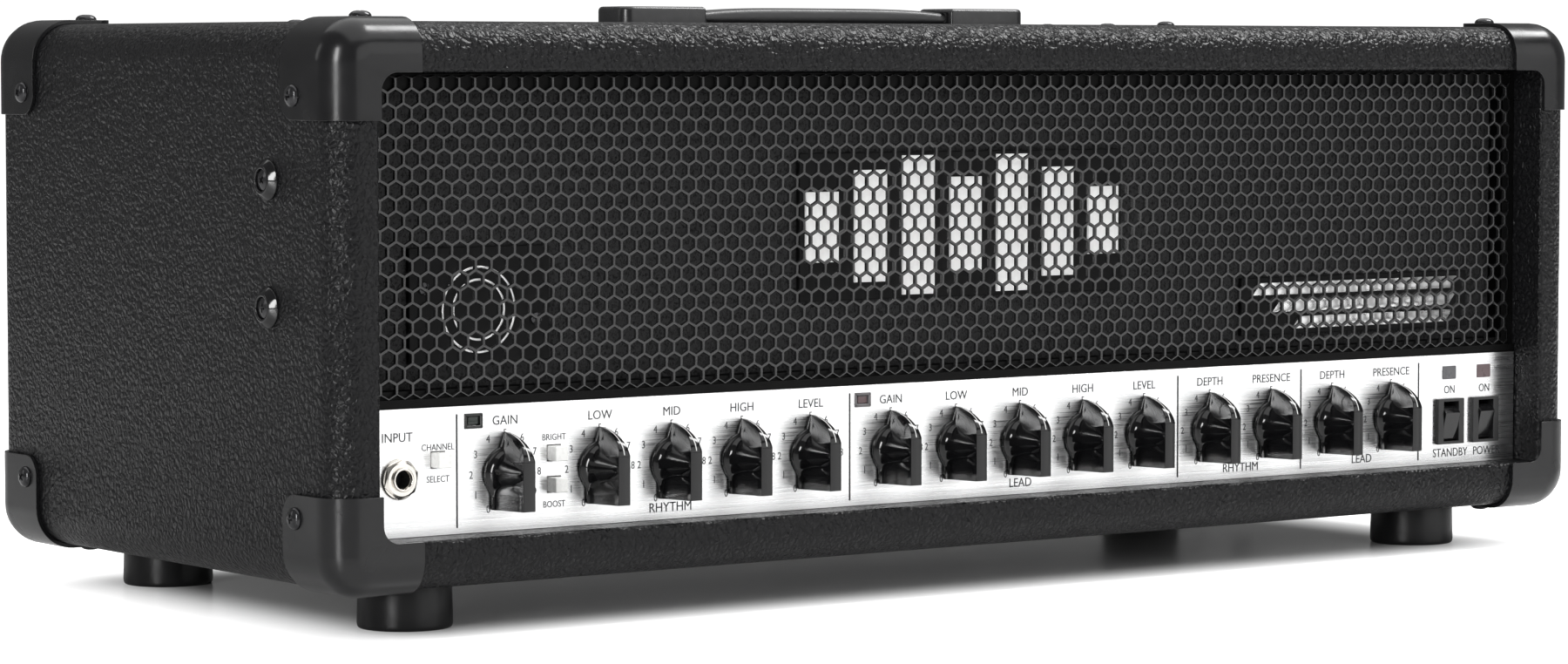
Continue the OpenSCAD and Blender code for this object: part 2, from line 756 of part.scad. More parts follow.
module potentiometers() {
    color("silver") for (x = knob_x) difference() {
        union() {
            rod_y(x, axis_z, pot_r, wall_in_y, wall_in_y + pot_depth);
            rod_y(x, axis_z, bush_r, panel_y - bush_out, wall_in_y + 1);
        }
        rod_y(x, axis_z, shaft_r + 0.06, panel_y - bush_out - 1, wall_in_y + shaft_in + 1);
    }
}

module control_nuts() {
    washer_y = panel_y - pot_washer_t;
    color("silver") {
        for (x = knob_x) difference() {
            union() {
                hex_y(x, axis_z, pot_nut_w, washer_y - nut_t, washer_y);
                rod_y(x, axis_z, pot_washer_r, washer_y, panel_y);
            }
            rod_y(x, axis_z, bush_r, washer_y - nut_t - 1, panel_y + 1);
        }
        jack_nut(jack_x, panel_y);
    }
}

// ---------------------------------------------------------------- knobs

// Thin slab of the pointer at height y over the panel; z0 and z1 are along the pointer
module knob_slab(wide, z0, z1, height) {
    translate([-wide / 2, -height - 0.1, z0]) cube([wide, 0.1, z1 - z0]);
}

// Pointer knob on the panel's plane with its axis along -Y and its pointer up:
// a round horn, a square tail and a narrow nose
module pointer_knob() {
    lift = 0.6;
    difference() {
        union() {
            translate([0, -lift, 0]) rotate([90, 0, 0]) cylinder(h = 2, r = knob_r);
            translate([0, -lift - 2, 0]) rotate([90, 0, 0])
                cylinder(h = 6, r1 = knob_r, r2 = knob_ridge_w - 0.4);
            hull() {
                knob_slab(knob_tail_w, -knob_tail, 0, lift);
                knob_slab(knob_ridge_w, -knob_tail, knob_shoulder, knob_h - 0.1);
            }
            hull() {
                knob_slab(knob_ridge_w + 0.8, 0, 9, lift);
                knob_slab(2, knob_nose - 1, knob_nose, lift);
                knob_slab(knob_ridge_w, 0, knob_shoulder, knob_h - 0.1);
                knob_slab(knob_ridge_w - 2, 10.5, 11.2, knob_h - 3.6);
                knob_slab(1.8, 14.8, 15.4, knob_h - 10.6);
            }
        }
        rod_y(0, 0, knob_cavity_r, -bush_out - 0.5, 1);
        rod_y(0, 0, shaft_r, shaft_cover - knob_h, 1);
    }
}

module knob_shaft() {
    color("silver") rod_y(0, 0, shaft_r, shaft_cover - knob_h, panel_t + sheet_t + shaft_in);
}

module knob(i) {
    translate([knob_x[i], panel_y, axis_z]) {
        color([0.05, 0.05, 0.05]) pointer_knob();
        knob_shaft();
    }
}

// ---------------------------------------------------------------- jacks, buttons, lamps, rockers

// Phone jack with its mouth towards -Y at the panel's face plane y0
module phone_jack(x, y0, behind) {
    difference() {
        union() {
            rod_y(x, axis_z, jack_bush_r, y0 - jack_out, y0 + behind + 1);
            slot_y([x, axis_z], jack_body_w, jack_body_h, y0 + behind, y0 + behind + jack_deep);
        }
        rod_y(x, axis_z, jack_bore_r, y0 - jack_out - 1, y0 + behind + jack_deep - 2);
    }
}

module jack_nut(x, y0) {
    washer_y = y0 - jack_washer_t;
    difference() {
        union() {
            hex_y(x, axis_z, jack_nut_w, washer_y - nut_t, washer_y);
            rod_y(x, axis_z, jack_washer_r, washer_y, y0);
        }
        rod_y(x, axis_z, jack_bush_r, washer_y - nut_t - 1, y0 + 1);
    }
}

module input_jack() color("silver") phone_jack(jack_x, panel_y, panel_t + sheet_t);

module rear_jacks() {
    color([0.2, 0.2, 0.2]) rotate([0, 0, 180]) for (x = rear_jack_x) {
        phone_jack(-x, -chassis_y1, sheet_t);
        jack_nut(-x, -chassis_y1);
    }
}

module push_button(at) {
    color("white") slot_y(at, button_w, button_w, panel_y - button_out, wall_in_y + button_in);
}

module channel_button() push_button(channel_button_at);
module bright_button() push_button(bright_button_at);
module crunch_button() push_button(crunch_button_at);

module switch_housings() {
    color([0.15, 0.15, 0.15]) for (b = button_at) difference() {
        slot_y(b, housing_w, housing_w, wall_in_y, wall_in_y + housing_deep);
        slot_y(b, button_w + button_fit, button_w + button_fit,
               wall_in_y - 1, wall_in_y + button_in + button_travel + 0.5);
    }
    color([0.15, 0.15, 0.15]) difference() {
        slot_y([selector_x, axis_z], selector_body_w, selector_body_h,
               chassis_y1 - selector_in - 6, chassis_y1 - sheet_t);
        slot_y([selector_x, axis_z], selector_slot_w, selector_h + 1,
               chassis_y1 - selector_in - 1, chassis_y1);
    }
}

module indicator_lenses() {
    color([0.3, 0.25, 0.25]) for (l = lens_at)
        slot_y(l, lens_w, lens_h, panel_y - 0.4, panel_y + 5);
}

module rocker_pivot(at) {
    translate([at[0], panel_y + rocker_pivot_in, at[1]]) children();
}

module rocker_frames() {
    cavity_w = rocker_w + 2 * gap;
    color([0.1, 0.1, 0.1]) for (r = rocker_at) difference() {
        union() {
            slot_y(r, bezel_w, bezel_h, panel_y - bezel_t, panel_y);
            slot_y(r, frame_w, frame_h, panel_y - 1, panel_y + rocker_body_deep);
        }
        slot_y(r, cavity_w, rocker_cavity_h, panel_y - bezel_t - 1, panel_y + rocker_cavity_deep);
        rocker_pivot(r) rotate([0, 90, 0])
            cylinder(h = frame_w + 2, r = pin_r + 0.08, center = true);
    }
}

// Rocker paddle round its pivot, level; the face looks to -Y
module rocker_paddle() {
    union() {
        translate([-rocker_w / 2, 0, 0]) rotate([90, 0, 90]) linear_extrude(rocker_w)
            polygon([[0.5 - rocker_face, -rocker_half_h], [-rocker_face, rocker_ridge_z],
                     [-2, rocker_half_h], [0, rocker_half_h - 1], [2.6, 3], [2.6, -3],
                     [0, 1 - rocker_half_h]]);
        rotate([0, 90, 0]) cylinder(h = rocker_w + 3, r = pin_r, center = true);
    }
}

module rocker(at) {
    color([0.08, 0.08, 0.08]) rocker_pivot(at) rotate([rocker_tilt, 0, 0]) rocker_paddle();
}

module standby_rocker() rocker(rocker_at[0]);
module power_rocker() rocker(rocker_at[1]);

// ---------------------------------------------------------------- valves and iron

module power_valve() {
    rotate_extrude() polygon([
        [0, 0], [power_key_r, 0], [power_key_r, 7], [16.5, 7], [16.5, 19], [17.2, 21], [18.4, 27], [18.8, 37],
        [18.8, 58], [17.8, 70], [15, 79], [11, 84], [5, 86.5], [0, 87]]);
}

module preamp_valve() {
    rotate_extrude() polygon([
        [0, 0], [preamp_key_r, 0], [preamp_key_r, 7], [9.6, 7], [10.4, 9], [10.4, 40], [9.6, 45], [6, 50],
        [2.4, 52], [1.2, 56], [0, 56]]);
}

module power_valves() {
    color("lightgray") for (x = power_valve_x)
        translate([x, power_valve_y, chassis_top - valve_key]) power_valve();
}

module preamp_valves() {
    color("lightgray") for (x = preamp_valve_x)
        translate([x, preamp_valve_y, chassis_top - valve_key]) preamp_valve();
}

// Socket ring through the chassis with a flange on top
module valve_socket(r, bore_r) {
    difference() {
        union() {
            translate([0, 0, -socket_h]) cylinder(h = socket_h + 0.5, r = r);
            cylinder(h = 2, r = r + 3.2);
        }
        translate([0, 0, -socket_h - 1]) cylinder(h = socket_h + 4, r = bore_r);
    }
}

module valve_sockets() {
    color([0.85, 0.83, 0.75]) {
        for (x = power_valve_x) translate([x, power_valve_y, chassis_top])
            valve_socket(power_socket_r, power_key_r + 0.05);
        for (x = preamp_valve_x) translate([x, preamp_valve_y, chassis_top])
            valve_socket(preamp_socket_r, preamp_key_r + 0.05);
    }
}

// Transformer standing on the chassis: laminated core and two end bells
module transformer(at, size) {
    w = size[0];
    h = size[2];
    bell = size[1] * 0.28;
    core = size[1] / 2 - bell;
    rim = 4;
    color([0.1, 0.1, 0.1]) translate([at[0], at[1], chassis_top]) {
        box(-w / 2, w / 2, -core, core, 0, h);
        for (sy = [0, 1]) mirror([0, sy, 0]) difference() {
            box(rim - w / 2, w / 2 - rim, core, core + bell, rim, h - rim);
            translate([0, core + bell, h - rim]) rotate([45, 0, 0])
                cube([w, 12, 12], center = true);
        }
    }
}

module power_transformer() transformer(power_iron_at, power_iron);
module output_transformer() transformer(output_iron_at, output_iron);

// ---------------------------------------------------------------- rear

// Upright sheet at the back of the chassis between x0 and x1
module rear_sheet(x0, x1) {
    box(x0, x1, chassis_y1 - sheet_t, chassis_y1, floor_z, chassis_top);
}

// Sheet that carries the jacks and the impedance selector
module rear_panel() {
    color([0.12, 0.12, 0.12]) difference() {
        rear_sheet(-chassis_x, mains_panel_x);
        for (x = rear_jack_x)
            rod_y(x, axis_z, jack_bush_r + 0.15, chassis_y1 - 3, chassis_y1 + 1);
        slot_y([selector_x, axis_z], selector_slot_w, selector_h + 1, chassis_y1 - 3, chassis_y1 + 1);
    }
}

// Sheet that carries the mains inlet and the fuses
module mains_panel() {
    y0 = chassis_y1 - 3;
    y1 = chassis_y1 + 1;
    color([0.12, 0.12, 0.12]) difference() {
        rear_sheet(mains_panel_x, chassis_x);
        slot_y([inlet_x, axis_z], inlet_w + 0.4, inlet_h + 0.4, y0, y1);
        for (f = fuse_at) rod_y(f[0], f[1], fuse_r + 0.2, y0, y1);
        for (s = [-1, 1]) rod_y(inlet_x + s * inlet_screw_dx, axis_z, inlet_screw_r, y0, y1);
    }
}

module rear_guard() {
    x1 = inner_x - 2;
    z1 = ceiling_z;
    slot_count = 34;
    slot_w = 7.9;
    slot_len = 44;
    margin = 20;
    slot_pitch = 2 * (x1 - margin) / slot_count;
    color([0.12, 0.12, 0.12]) difference() {
        union() {
            box(-x1, x1, chassis_y1 - sheet_t, chassis_y1, chassis_top + 0.5, z1);
            box(-x1, x1, top_bolt_y[0] - 10, chassis_y1 - 0.5, z1 - sheet_t, z1);
        }
        for (i = [0:slot_count - 1], row = [0, 1])
            slot_y([margin - x1 + slot_pitch * (i + 0.5), chassis_top + 38 + 54 * row],
                   slot_w, slot_len, chassis_y1 - 4, chassis_y1 + 2);
        at_top_bolts() cylinder(h = 3 * wall_t, r = bolt_r, center = true);
    }
}

module mains_inlet_and_fuses() {
    y = chassis_y1;
    color([0.06, 0.06, 0.06]) {
        difference() {
            union() {
                slot_y([inlet_x, axis_z], inlet_flange[0], inlet_flange[1], y, y + inlet_flange[2]);
                slot_y([inlet_x, axis_z], inlet_w, inlet_h, y - inlet_deep, y + 1);
            }
            slot_y([inlet_x, axis_z], inlet_w - 2.8, inlet_h - 3.4, y - inlet_deep + 3, y + 4);
            for (s = [-1, 1]) rod_y(inlet_x + s * inlet_screw_dx, axis_z, inlet_screw_r, y - 1, y + 4);
        }
        for (f = fuse_at) union() {
            rod_y(f[0], f[1], fuse_r, y - 24, y + 1);
            rod_y(f[0], f[1], fuse_r + 1.5, y, y + 2);
            rod_y(f[0], f[1], fuse_r - 0.5, y, y + 9);
        }
    }
    color("silver") for (s = [-1, 0, 1])
        slot_y([inlet_x + 7 * s, axis_z + (s == 0 ? 3 : -1.5)], 2, 5, y - inlet_deep + 3, y - blade_in);
}

module impedance_slider() {
    color("white")
        slot_y([selector_x, axis_z], selector_w, selector_h, chassis_y1 - selector_in, chassis_y1 + 3);
}

// ---------------------------------------------------------------- nodes

top_board();
bottom_board();
left_side_board();
right_side_board();
vinyl_covering();
corner_protectors();
screws();
rubber_feet();
cabinet_bolts();
cup_washers();
handle_end_caps();
handle_strap_middle();
handle_strap_left();
handle_strap_right();
handle_slider_left();
handle_slider_right();
grille_frame();
hex_grille();
backing_board();
badge_plates();
front_panel();
chassis();
circuit_board();
filter_capacitors();
potentiometers();
control_nuts();
for (i = [0:len(knob_names) - 1]) knob(i);
input_jack();
channel_button();
bright_button();
crunch_button();
switch_housings();
indicator_lenses();
rocker_frames();
standby_rocker();
power_rocker();
power_valves();
preamp_valves();
valve_sockets();
power_transformer();
output_transformer();
rear_panel();
mains_panel();
rear_guard();
rear_jacks();
mains_inlet_and_fuses();
impedance_slider();
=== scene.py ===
"""Looks of the amplifier head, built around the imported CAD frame.

Shapes are described in millimetres in the row frame (+X right seen from the front, +Y back,
+Z up); Shape.mesh() turns them into Blender's metres."""

import json
import math

import bmesh
import bpy
from mathutils import Matrix, Vector

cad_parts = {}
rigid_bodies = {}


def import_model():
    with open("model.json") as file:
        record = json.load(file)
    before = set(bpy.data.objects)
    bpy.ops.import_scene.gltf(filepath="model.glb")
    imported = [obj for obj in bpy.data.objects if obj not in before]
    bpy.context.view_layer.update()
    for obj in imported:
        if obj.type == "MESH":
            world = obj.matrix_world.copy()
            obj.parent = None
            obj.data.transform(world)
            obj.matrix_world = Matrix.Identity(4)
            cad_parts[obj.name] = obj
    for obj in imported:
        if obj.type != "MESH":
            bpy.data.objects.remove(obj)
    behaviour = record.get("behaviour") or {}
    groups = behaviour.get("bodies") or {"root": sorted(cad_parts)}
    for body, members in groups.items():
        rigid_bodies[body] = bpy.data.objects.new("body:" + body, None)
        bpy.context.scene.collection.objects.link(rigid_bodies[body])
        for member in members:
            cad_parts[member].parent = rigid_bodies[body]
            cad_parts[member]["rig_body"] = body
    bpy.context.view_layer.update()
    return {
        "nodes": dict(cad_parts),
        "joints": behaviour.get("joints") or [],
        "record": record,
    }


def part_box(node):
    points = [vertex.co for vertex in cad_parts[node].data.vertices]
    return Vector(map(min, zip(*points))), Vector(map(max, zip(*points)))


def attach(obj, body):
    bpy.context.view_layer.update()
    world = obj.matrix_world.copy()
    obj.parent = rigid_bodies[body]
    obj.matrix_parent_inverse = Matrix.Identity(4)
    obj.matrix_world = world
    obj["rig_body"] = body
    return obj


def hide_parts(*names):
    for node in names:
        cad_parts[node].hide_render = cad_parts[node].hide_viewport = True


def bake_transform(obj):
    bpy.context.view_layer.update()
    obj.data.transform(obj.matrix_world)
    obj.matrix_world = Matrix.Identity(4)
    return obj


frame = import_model()
MM = 0.001
scene = bpy.context.scene


def span(node):
    """Lowest and highest corner of a CAD node, in millimetres."""
    lo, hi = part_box(node)
    return lo / MM, hi / MM


def middle(node):
    """Centre of a CAD node's box, in millimetres."""
    return sum(span(node), Vector()) / 2


# ---------------- mesh building


class Shape:
    """Vertices in millimetres, and faces that each have a material index."""

    def __init__(self):
        self.verts, self.faces, self.mats = [], [], []

    def add(self, part, spot=None, mat=0):
        verts, faces = part
        base = len(self.verts)
        self.verts += [spot @ Vector(v) if spot else Vector(v) for v in verts]
        self.faces += [[base + i for i in f] for f in faces]
        self.mats += [mat] * len(faces)
        return self

    def mesh(self, name, materials, angle=38, merge=False):
        me = bpy.data.meshes.new(name)
        me.from_pydata([v * MM for v in self.verts], [], self.faces)
        for m in materials:
            me.materials.append(m)
        me.polygons.foreach_set("material_index", self.mats)
        bm = bmesh.new()
        bm.from_mesh(me)
        if merge:
            bmesh.ops.remove_doubles(bm, verts=bm.verts, dist=1e-6)
        bmesh.ops.recalc_face_normals(bm, faces=bm.faces)
        bm.to_mesh(me)
        bm.free()
        return smooth(me, angle)


def smooth(me, angle=38):
    me.polygons.foreach_set("use_smooth", [True] * len(me.polygons))
    me.set_sharp_from_angle(angle=math.radians(angle))
    me.update()
    return me


def loft(rings, loop=False, caps=True):
    """Skin over closed rings of equal length; loop joins the last ring to the first."""
    n = len(rings[0])
    verts = [p for ring in rings for p in ring]
    pairs = [(k, k + 1) for k in range(len(rings) - 1)] + ([(len(rings) - 1, 0)] if loop else [])
    faces = [(a * n + i, a * n + (i + 1) % n, b * n + (i + 1) % n, b * n + i)
             for a, b in pairs for i in range(n)]
    if caps and not loop:
        faces += [tuple(range(n)), tuple(range(len(verts) - n, len(verts)))]
    return verts, faces


def lathe(profile, n=48, loop=False):
    """Solid of revolution about Z from (radius, height) points."""
    verts, rings, faces = [], [], []
    for r, h in profile:
        count = n if r > 1e-6 else 1
        rings.append(list(range(len(verts), len(verts) + count)))
        verts += [(r * math.cos(math.tau * i / n), r * math.sin(math.tau * i / n), h)
                  for i in range(count)]
    for a, b in zip(rings, rings[1:] + rings[:1] if loop else rings[1:]):
        for i in range(n):
            j = (i + 1) % n
            face = [a[i % len(a)], a[j % len(a)], b[j % len(b)], b[i % len(b)]]
            face = list(dict.fromkeys(face))
            if len(face) > 2:
                faces.append(face)
    return verts, faces


def rounded(points, steps=4, closed=True):
    """Polyline whose corners (x, y, radius) become arcs."""
    out, count = [], len(points)
    for i, (x, y, r) in enumerate(points):
        corner = Vector((x, y))
        if r <= 0 or (not closed and i in (0, count - 1)):
            out.append((x, y))
            continue
        a = Vector(points[i - 1][:2]) - corner
        b = Vector(points[(i + 1) % count][:2]) - corner
        half = a.angle(b) / 2
        reach = r / math.tan(half)
        start = corner + a.normalized() * reach
        centre = corner + (a.normalized() + b.normalized()).normalized() * r / math.sin(half)
        turn = math.pi - 2 * half
        if a.cross(b) > 0:
            turn = -turn
        arm = start - centre
        for k in range(steps + 1):
            t = turn * k / steps
            out.append((centre.x + arm.x * math.cos(t) - arm.y * math.sin(t),
                        centre.y + arm.x * math.sin(t) + arm.y * math.cos(t)))
    return out


def rect(w, h, r=0.0, steps=4):
    """Rounded rectangle round the origin, counter-clockwise."""
    corners = [(w / 2, h / 2), (-w / 2, h / 2), (-w / 2, -h / 2), (w / 2, -h / 2)]
    return rounded([(x, y, r) for x, y in corners], steps)


def hexagon(r, turn=0.0):
    return [(r * math.cos(turn + k * math.tau / 6), r * math.sin(turn + k * math.tau / 6))
            for k in range(6)]


def inset(outline, d):
    """Outline moved inwards by d; it runs counter-clockwise."""
    out, n = [], len(outline)
    for i in range(n):
        p = Vector(outline[i])
        a = (p - Vector(outline[i - 1])).normalized()
        b = (Vector(outline[(i + 1) % n]) - p).normalized()
        na, nb = Vector((-a.y, a.x)), Vector((-b.y, b.x))
        m = na + nb
        m = m / max(m.dot(na), 0.25)
        out.append(tuple(p + m * d))
    return out


def slab(outline, levels):
    """Prism over an outline in XY; levels are (inset, height) from the bottom up."""
    return loft([[(x, y, h) for x, y in inset(outline, d)] for d, h in levels])


def soft_levels(z0, z1, r, steps=3, both=False):
    """Levels of a prism with its upper edge, or both edges, rounded by r."""
    top = [(r * (1 - math.cos(a)), z1 - r * (1 - math.sin(a)))
           for a in (math.pi / 2 * k / steps for k in range(steps + 1))]
    low = [(d, z0 + z1 - z) for d, z in reversed(top)] if both else [(0, z0)]
    return low + top


def block(w, d, h, r):
    """Rounded box on z = 0, centred in XY."""
    return slab(rect(w, d, r, 3), soft_levels(0, h, r, 3, True))


def place(x=0.0, y=0.0, z=0.0, facing="up", turn=0.0):
    """Matrix that stands local +Z up, or towards the front, the back, the left or the right.
    Facing front or back, local X is the viewer's right and local Y is up."""
    basis = {
        "up": ((1, 0, 0), (0, 1, 0), (0, 0, 1)),
        "down": ((1, 0, 0), (0, -1, 0), (0, 0, -1)),
        "front": ((1, 0, 0), (0, 0, 1), (0, -1, 0)),
        "back": ((-1, 0, 0), (0, 0, 1), (0, 1, 0)),
        "left": ((0, -1, 0), (0, 0, 1), (-1, 0, 0)),
        "right": ((0, 1, 0), (0, 0, 1), (1, 0, 0)),
    }[facing]
    m = Matrix(basis).transposed().to_4x4()
    return Matrix.Translation((x, y, z)) @ m @ Matrix.Rotation(turn, 4, "Z")


def piece(name, me, body, slot, *nodes):
    """A new piece of the object, riding on a body and standing for CAD nodes."""
    obj = bpy.data.objects.new(name, me)
    scene.collection.objects.link(obj)
    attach(obj, body)
    if nodes:
        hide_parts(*nodes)
    return obj


def boolean(me, cutter, operation="DIFFERENCE"):
    """Mesh cut by another mesh."""
    a = bpy.data.objects.new("tmp_a", me)
    b = bpy.data.objects.new("tmp_b", cutter)
    for o in (a, b):
        scene.collection.objects.link(o)
    mod = a.modifiers.new("cut", "BOOLEAN")
    mod.object, mod.operation, mod.solver = b, operation, "EXACT"
    bpy.context.view_layer.update()
    made = bpy.data.meshes.new_from_object(a.evaluated_get(bpy.context.evaluated_depsgraph_get()))
    for o in (a, b):
        bpy.data.objects.remove(o)
    return made


def refined(node, material, width, segments, angle):
    """Copy of a CAD node's mesh in whole faces, with its sharp edges rounded."""
    bm = bmesh.new()
    bm.from_mesh(frame["nodes"][node].data)
    bmesh.ops.remove_doubles(bm, verts=bm.verts, dist=2e-6)
    bmesh.ops.dissolve_limit(bm, angle_limit=math.radians(0.6), verts=bm.verts, edges=bm.edges)
    if width:
        edges = [e for e in bm.edges if len(e.link_faces) == 2
                 and e.calc_face_angle(0) > math.radians(angle)]
        bmesh.ops.bevel(bm, geom=edges, offset=width * MM, offset_type="OFFSET", segments=segments,
                        profile=0.5, affect="EDGES", clamp_overlap=True)
    bmesh.ops.recalc_face_normals(bm, faces=bm.faces)
    me = bpy.data.meshes.new(node + "_mesh")
    bm.to_mesh(me)
    bm.free()
    me.materials.append(material)
    me.polygons.foreach_set("material_index", [0] * len(me.polygons))
    return smooth(me)


def refine(node, material, width, segments=2, angle=34):
    """Stands a refined copy of a CAD node in for it, on its own body."""
    obj = piece(node + "_made", refined(node, material, width, segments, angle),
                frame["nodes"][node]["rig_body"], slot_of[node], node)
    obj.modifiers.new("normals", "WEIGHTED_NORMAL").keep_sharp = True
    return obj


def islands(node):
    """Lowest and highest corner of each solid of a CAD node, in millimetres."""
    bm = bmesh.new()
    bm.from_mesh(frame["nodes"][node].data)
    bmesh.ops.remove_doubles(bm, verts=bm.verts, dist=2e-6)
    seen, found = set(), []
    for v in bm.verts:
        stack, mine = [v], []
        while stack:
            u = stack.pop()
            if u not in seen:
                seen.add(u)
                mine.append(u.co / MM)
                stack += [e.other_vert(u) for e in u.link_edges]
        if mine:
            found.append((Vector([min(c[i] for c in mine) for i in range(3)]),
                          Vector([max(c[i] for c in mine) for i in range(3)])))
    bm.free()
    return sorted(found, key=lambda b: (round(b[0].x, 2), round(b[0].z, 2), round(b[0].y, 2)))


slot_of = {n["node"]: n["material_slot"] for n in frame["record"]["subparts"]}

# ---------------- materials


class Surface:
    """Node material on the Principled shader, with helpers for procedural detail."""

    def __init__(self, name, color, rough, metallic=0.0, specular=0.5):
        self.mat = bpy.data.materials.new(name)
        self.mat.use_nodes = True
        self.tree = self.mat.node_tree
        self.shader = self.tree.nodes["Principled BSDF"]
        self.set("Base Color", (*color, 1))
        self.set("Roughness", rough)
        self.set("Metallic", metallic)
        self.set("Specular IOR Level", specular)
        self.color, self.rough = color, rough
        self.coord = self.new("ShaderNodeTexCoord").outputs["Object"]
        self.normal = None

    def set(self, socket, value):
        self.shader.inputs[socket].default_value = value

    def new(self, kind, **settings):
        node = self.tree.nodes.new(kind)
        for key, value in settings.items():
            setattr(node, key, value)
        return node

    def link(self, a, b):
        self.tree.links.new(a, b)

    def stretched(self, factors):
        """Object coordinates scaled along each axis."""
        m = self.new("ShaderNodeMapping")
        m.inputs["Scale"].default_value = factors
        self.link(self.coord, m.inputs["Vector"])
        return m.outputs["Vector"]

    def noise(self, scale, detail=2.0, rough=0.5, vector=None, distortion=0.0):
        n = self.new("ShaderNodeTexNoise")
        n.inputs["Scale"].default_value = scale
        n.inputs["Detail"].default_value = detail
        n.inputs["Roughness"].default_value = rough
        n.inputs["Distortion"].default_value = distortion
        self.link(vector or self.coord, n.inputs["Vector"])
        return n.outputs["Fac"]

    def cells(self, scale, feature="F1", vector=None, smoothness=None):
        v = self.new("ShaderNodeTexVoronoi", feature=feature)
        v.inputs["Scale"].default_value = scale
        if smoothness is not None:
            v.inputs["Smoothness"].default_value = smoothness
        self.link(vector or self.coord, v.inputs["Vector"])
        return v.outputs["Distance"]

    def remap(self, value, low, high, to_low=0.0, to_high=1.0):
        m = self.new("ShaderNodeMapRange")
        for key, number in (("From Min", low), ("From Max", high), ("To Min", to_low),
                            ("To Max", to_high)):
            m.inputs[key].default_value = number
        self.link(value, m.inputs["Value"])
        return m.outputs["Result"]

    def math(self, op, a, b):
        m = self.new("ShaderNodeMath", operation=op)
        for i, v in enumerate((a, b)):
            if isinstance(v, (int, float)):
                m.inputs[i].default_value = v
            else:
                self.link(v, m.inputs[i])
        return m.outputs[0]

    def bump(self, height, distance, strength=1.0):
        b = self.new("ShaderNodeBump")
        b.inputs["Strength"].default_value = strength
        b.inputs["Distance"].default_value = distance * MM
        self.link(height, b.inputs["Height"])
        if self.normal:
            self.link(self.normal, b.inputs["Normal"])
        self.normal = b.outputs["Normal"]
        self.link(self.normal, self.shader.inputs["Normal"])
        return self

    def tint(self, value, low_color, high_color, low=0.0, high=1.0):
        """Base colour that runs between two colours with a value."""
        ramp = self.new("ShaderNodeValToRGB")
        for el, at, c in zip(ramp.color_ramp.elements, (low, high), (low_color, high_color)):
            el.position, el.color = at, (*c, 1)
        self.link(value, ramp.inputs["Fac"])
        self.link(ramp.outputs["Color"], self.shader.inputs["Base Color"])
        return self

    def shade(self, scale, amount):
        """Slight unevenness of the base colour."""
        c = self.color
        return self.tint(self.noise(scale, 3), tuple(x * (1 - amount) for x in c),
                         tuple(min(1, x * (1 + amount)) for x in c), 0.3, 0.7)

    def gloss(self, scale, amount):
        """Slight unevenness of the roughness."""
        value = self.remap(self.noise(scale), 0.3, 0.7, max(0.02, self.rough - amount),
                           self.rough + amount)
        self.link(value, self.shader.inputs["Roughness"])
        return self


def vinyl_material():
    s = Surface("vinyl", (0.006, 0.006, 0.0065), 0.29, specular=0.17)
    warp = s.new("ShaderNodeVectorMath", operation="MULTIPLY_ADD")
    n = s.new("ShaderNodeTexNoise")
    n.inputs["Scale"].default_value = 210
    s.link(s.coord, n.inputs["Vector"])
    s.link(n.outputs["Color"], warp.inputs[0])
    warp.inputs[1].default_value = (0.0034,) * 3
    s.link(s.coord, warp.inputs[2])
    pebbles = s.cells(470, "SMOOTH_F1", warp.outputs[0], 0.5)
    creases = s.cells(360, "DISTANCE_TO_EDGE", warp.outputs[0])
    height = s.math("SUBTRACT", s.remap(creases, 0.0, 0.42), s.math("MULTIPLY", pebbles, 1.1))
    s.bump(height, 0.36, 1.0)
    s.bump(s.noise(1500, 3), 0.05, 0.7)
    # Painted shade: the creases of the grain are darker than the pebbles between them
    s.tint(s.remap(creases, 0.0, 0.12), (0.004, 0.004, 0.0044), (0.008, 0.008, 0.0087))
    s.gloss(120, 0.03)
    return s.mat


def brushed_material():
    s = Surface("brushed_panel", (0.90, 0.905, 0.91), 0.30, metallic=1.0)
    fine = s.noise(1.0, 4, 0.6, s.stretched((14, 900, 2600)))
    long = s.noise(1.0, 2, 0.5, s.stretched((5, 200, 420)))
    s.bump(fine, 0.05, 0.55)
    s.tint(s.math("MULTIPLY", s.math("ADD", fine, long), 0.5),
           (0.80, 0.805, 0.815), (0.97, 0.97, 0.97), 0.34, 0.6)
    s.link(s.remap(fine, 0.3, 0.7, 0.2, 0.42), s.shader.inputs["Roughness"])
    grain = s.new("ShaderNodeTangent", direction_type="RADIAL", axis="X")
    s.link(grain.outputs["Tangent"], s.shader.inputs["Tangent"])
    s.set("Anisotropic", 0.8)
    return s.mat


def cloth_material():
    s = Surface("backing_cloth", (0.016, 0.016, 0.0165), 0.7, specular=0.25)
    grain = s.math("ADD", s.noise(1.0, 3, 0.6, s.stretched((1100, 900, 760))), s.noise(1500, 2))
    s.bump(grain, 0.5)
    s.tint(grain, (0.004, 0.004, 0.004), (0.036, 0.036, 0.037), 0.8, 1.2)
    return s.mat


def wood_material():
    s = Surface("birch_plywood", (0.62, 0.46, 0.29), 0.62)
    grain = s.noise(1.0, 5, 0.6, s.stretched((6, 60, 130)), 0.6)
    s.tint(grain, (0.47, 0.32, 0.18), (0.72, 0.55, 0.36), 0.3, 0.7)
    s.bump(grain, 0.1, 0.5)
    return s.mat


def plain(name, color, rough, scale=60, uneven=0.12, relief=0.02, relief_scale=900, **kw):
    """Moulded or coated surface: slight change of colour and gloss, and a fine skin."""
    s = Surface(name, color, rough, **kw)
    s.shade(scale, uneven)
    s.gloss(scale * 2, min(0.06, rough * 0.35))
    if relief:
        s.bump(s.noise(relief_scale, 3), relief, 0.6)
    return s.mat


def glass_material():
    s = Surface("valve_glass", (0.93, 0.96, 0.97), 0.03)
    s.set("Transmission Weight", 1.0)
    s.set("IOR", 1.12)
    s.gloss(60, 0.02)
    return s.mat


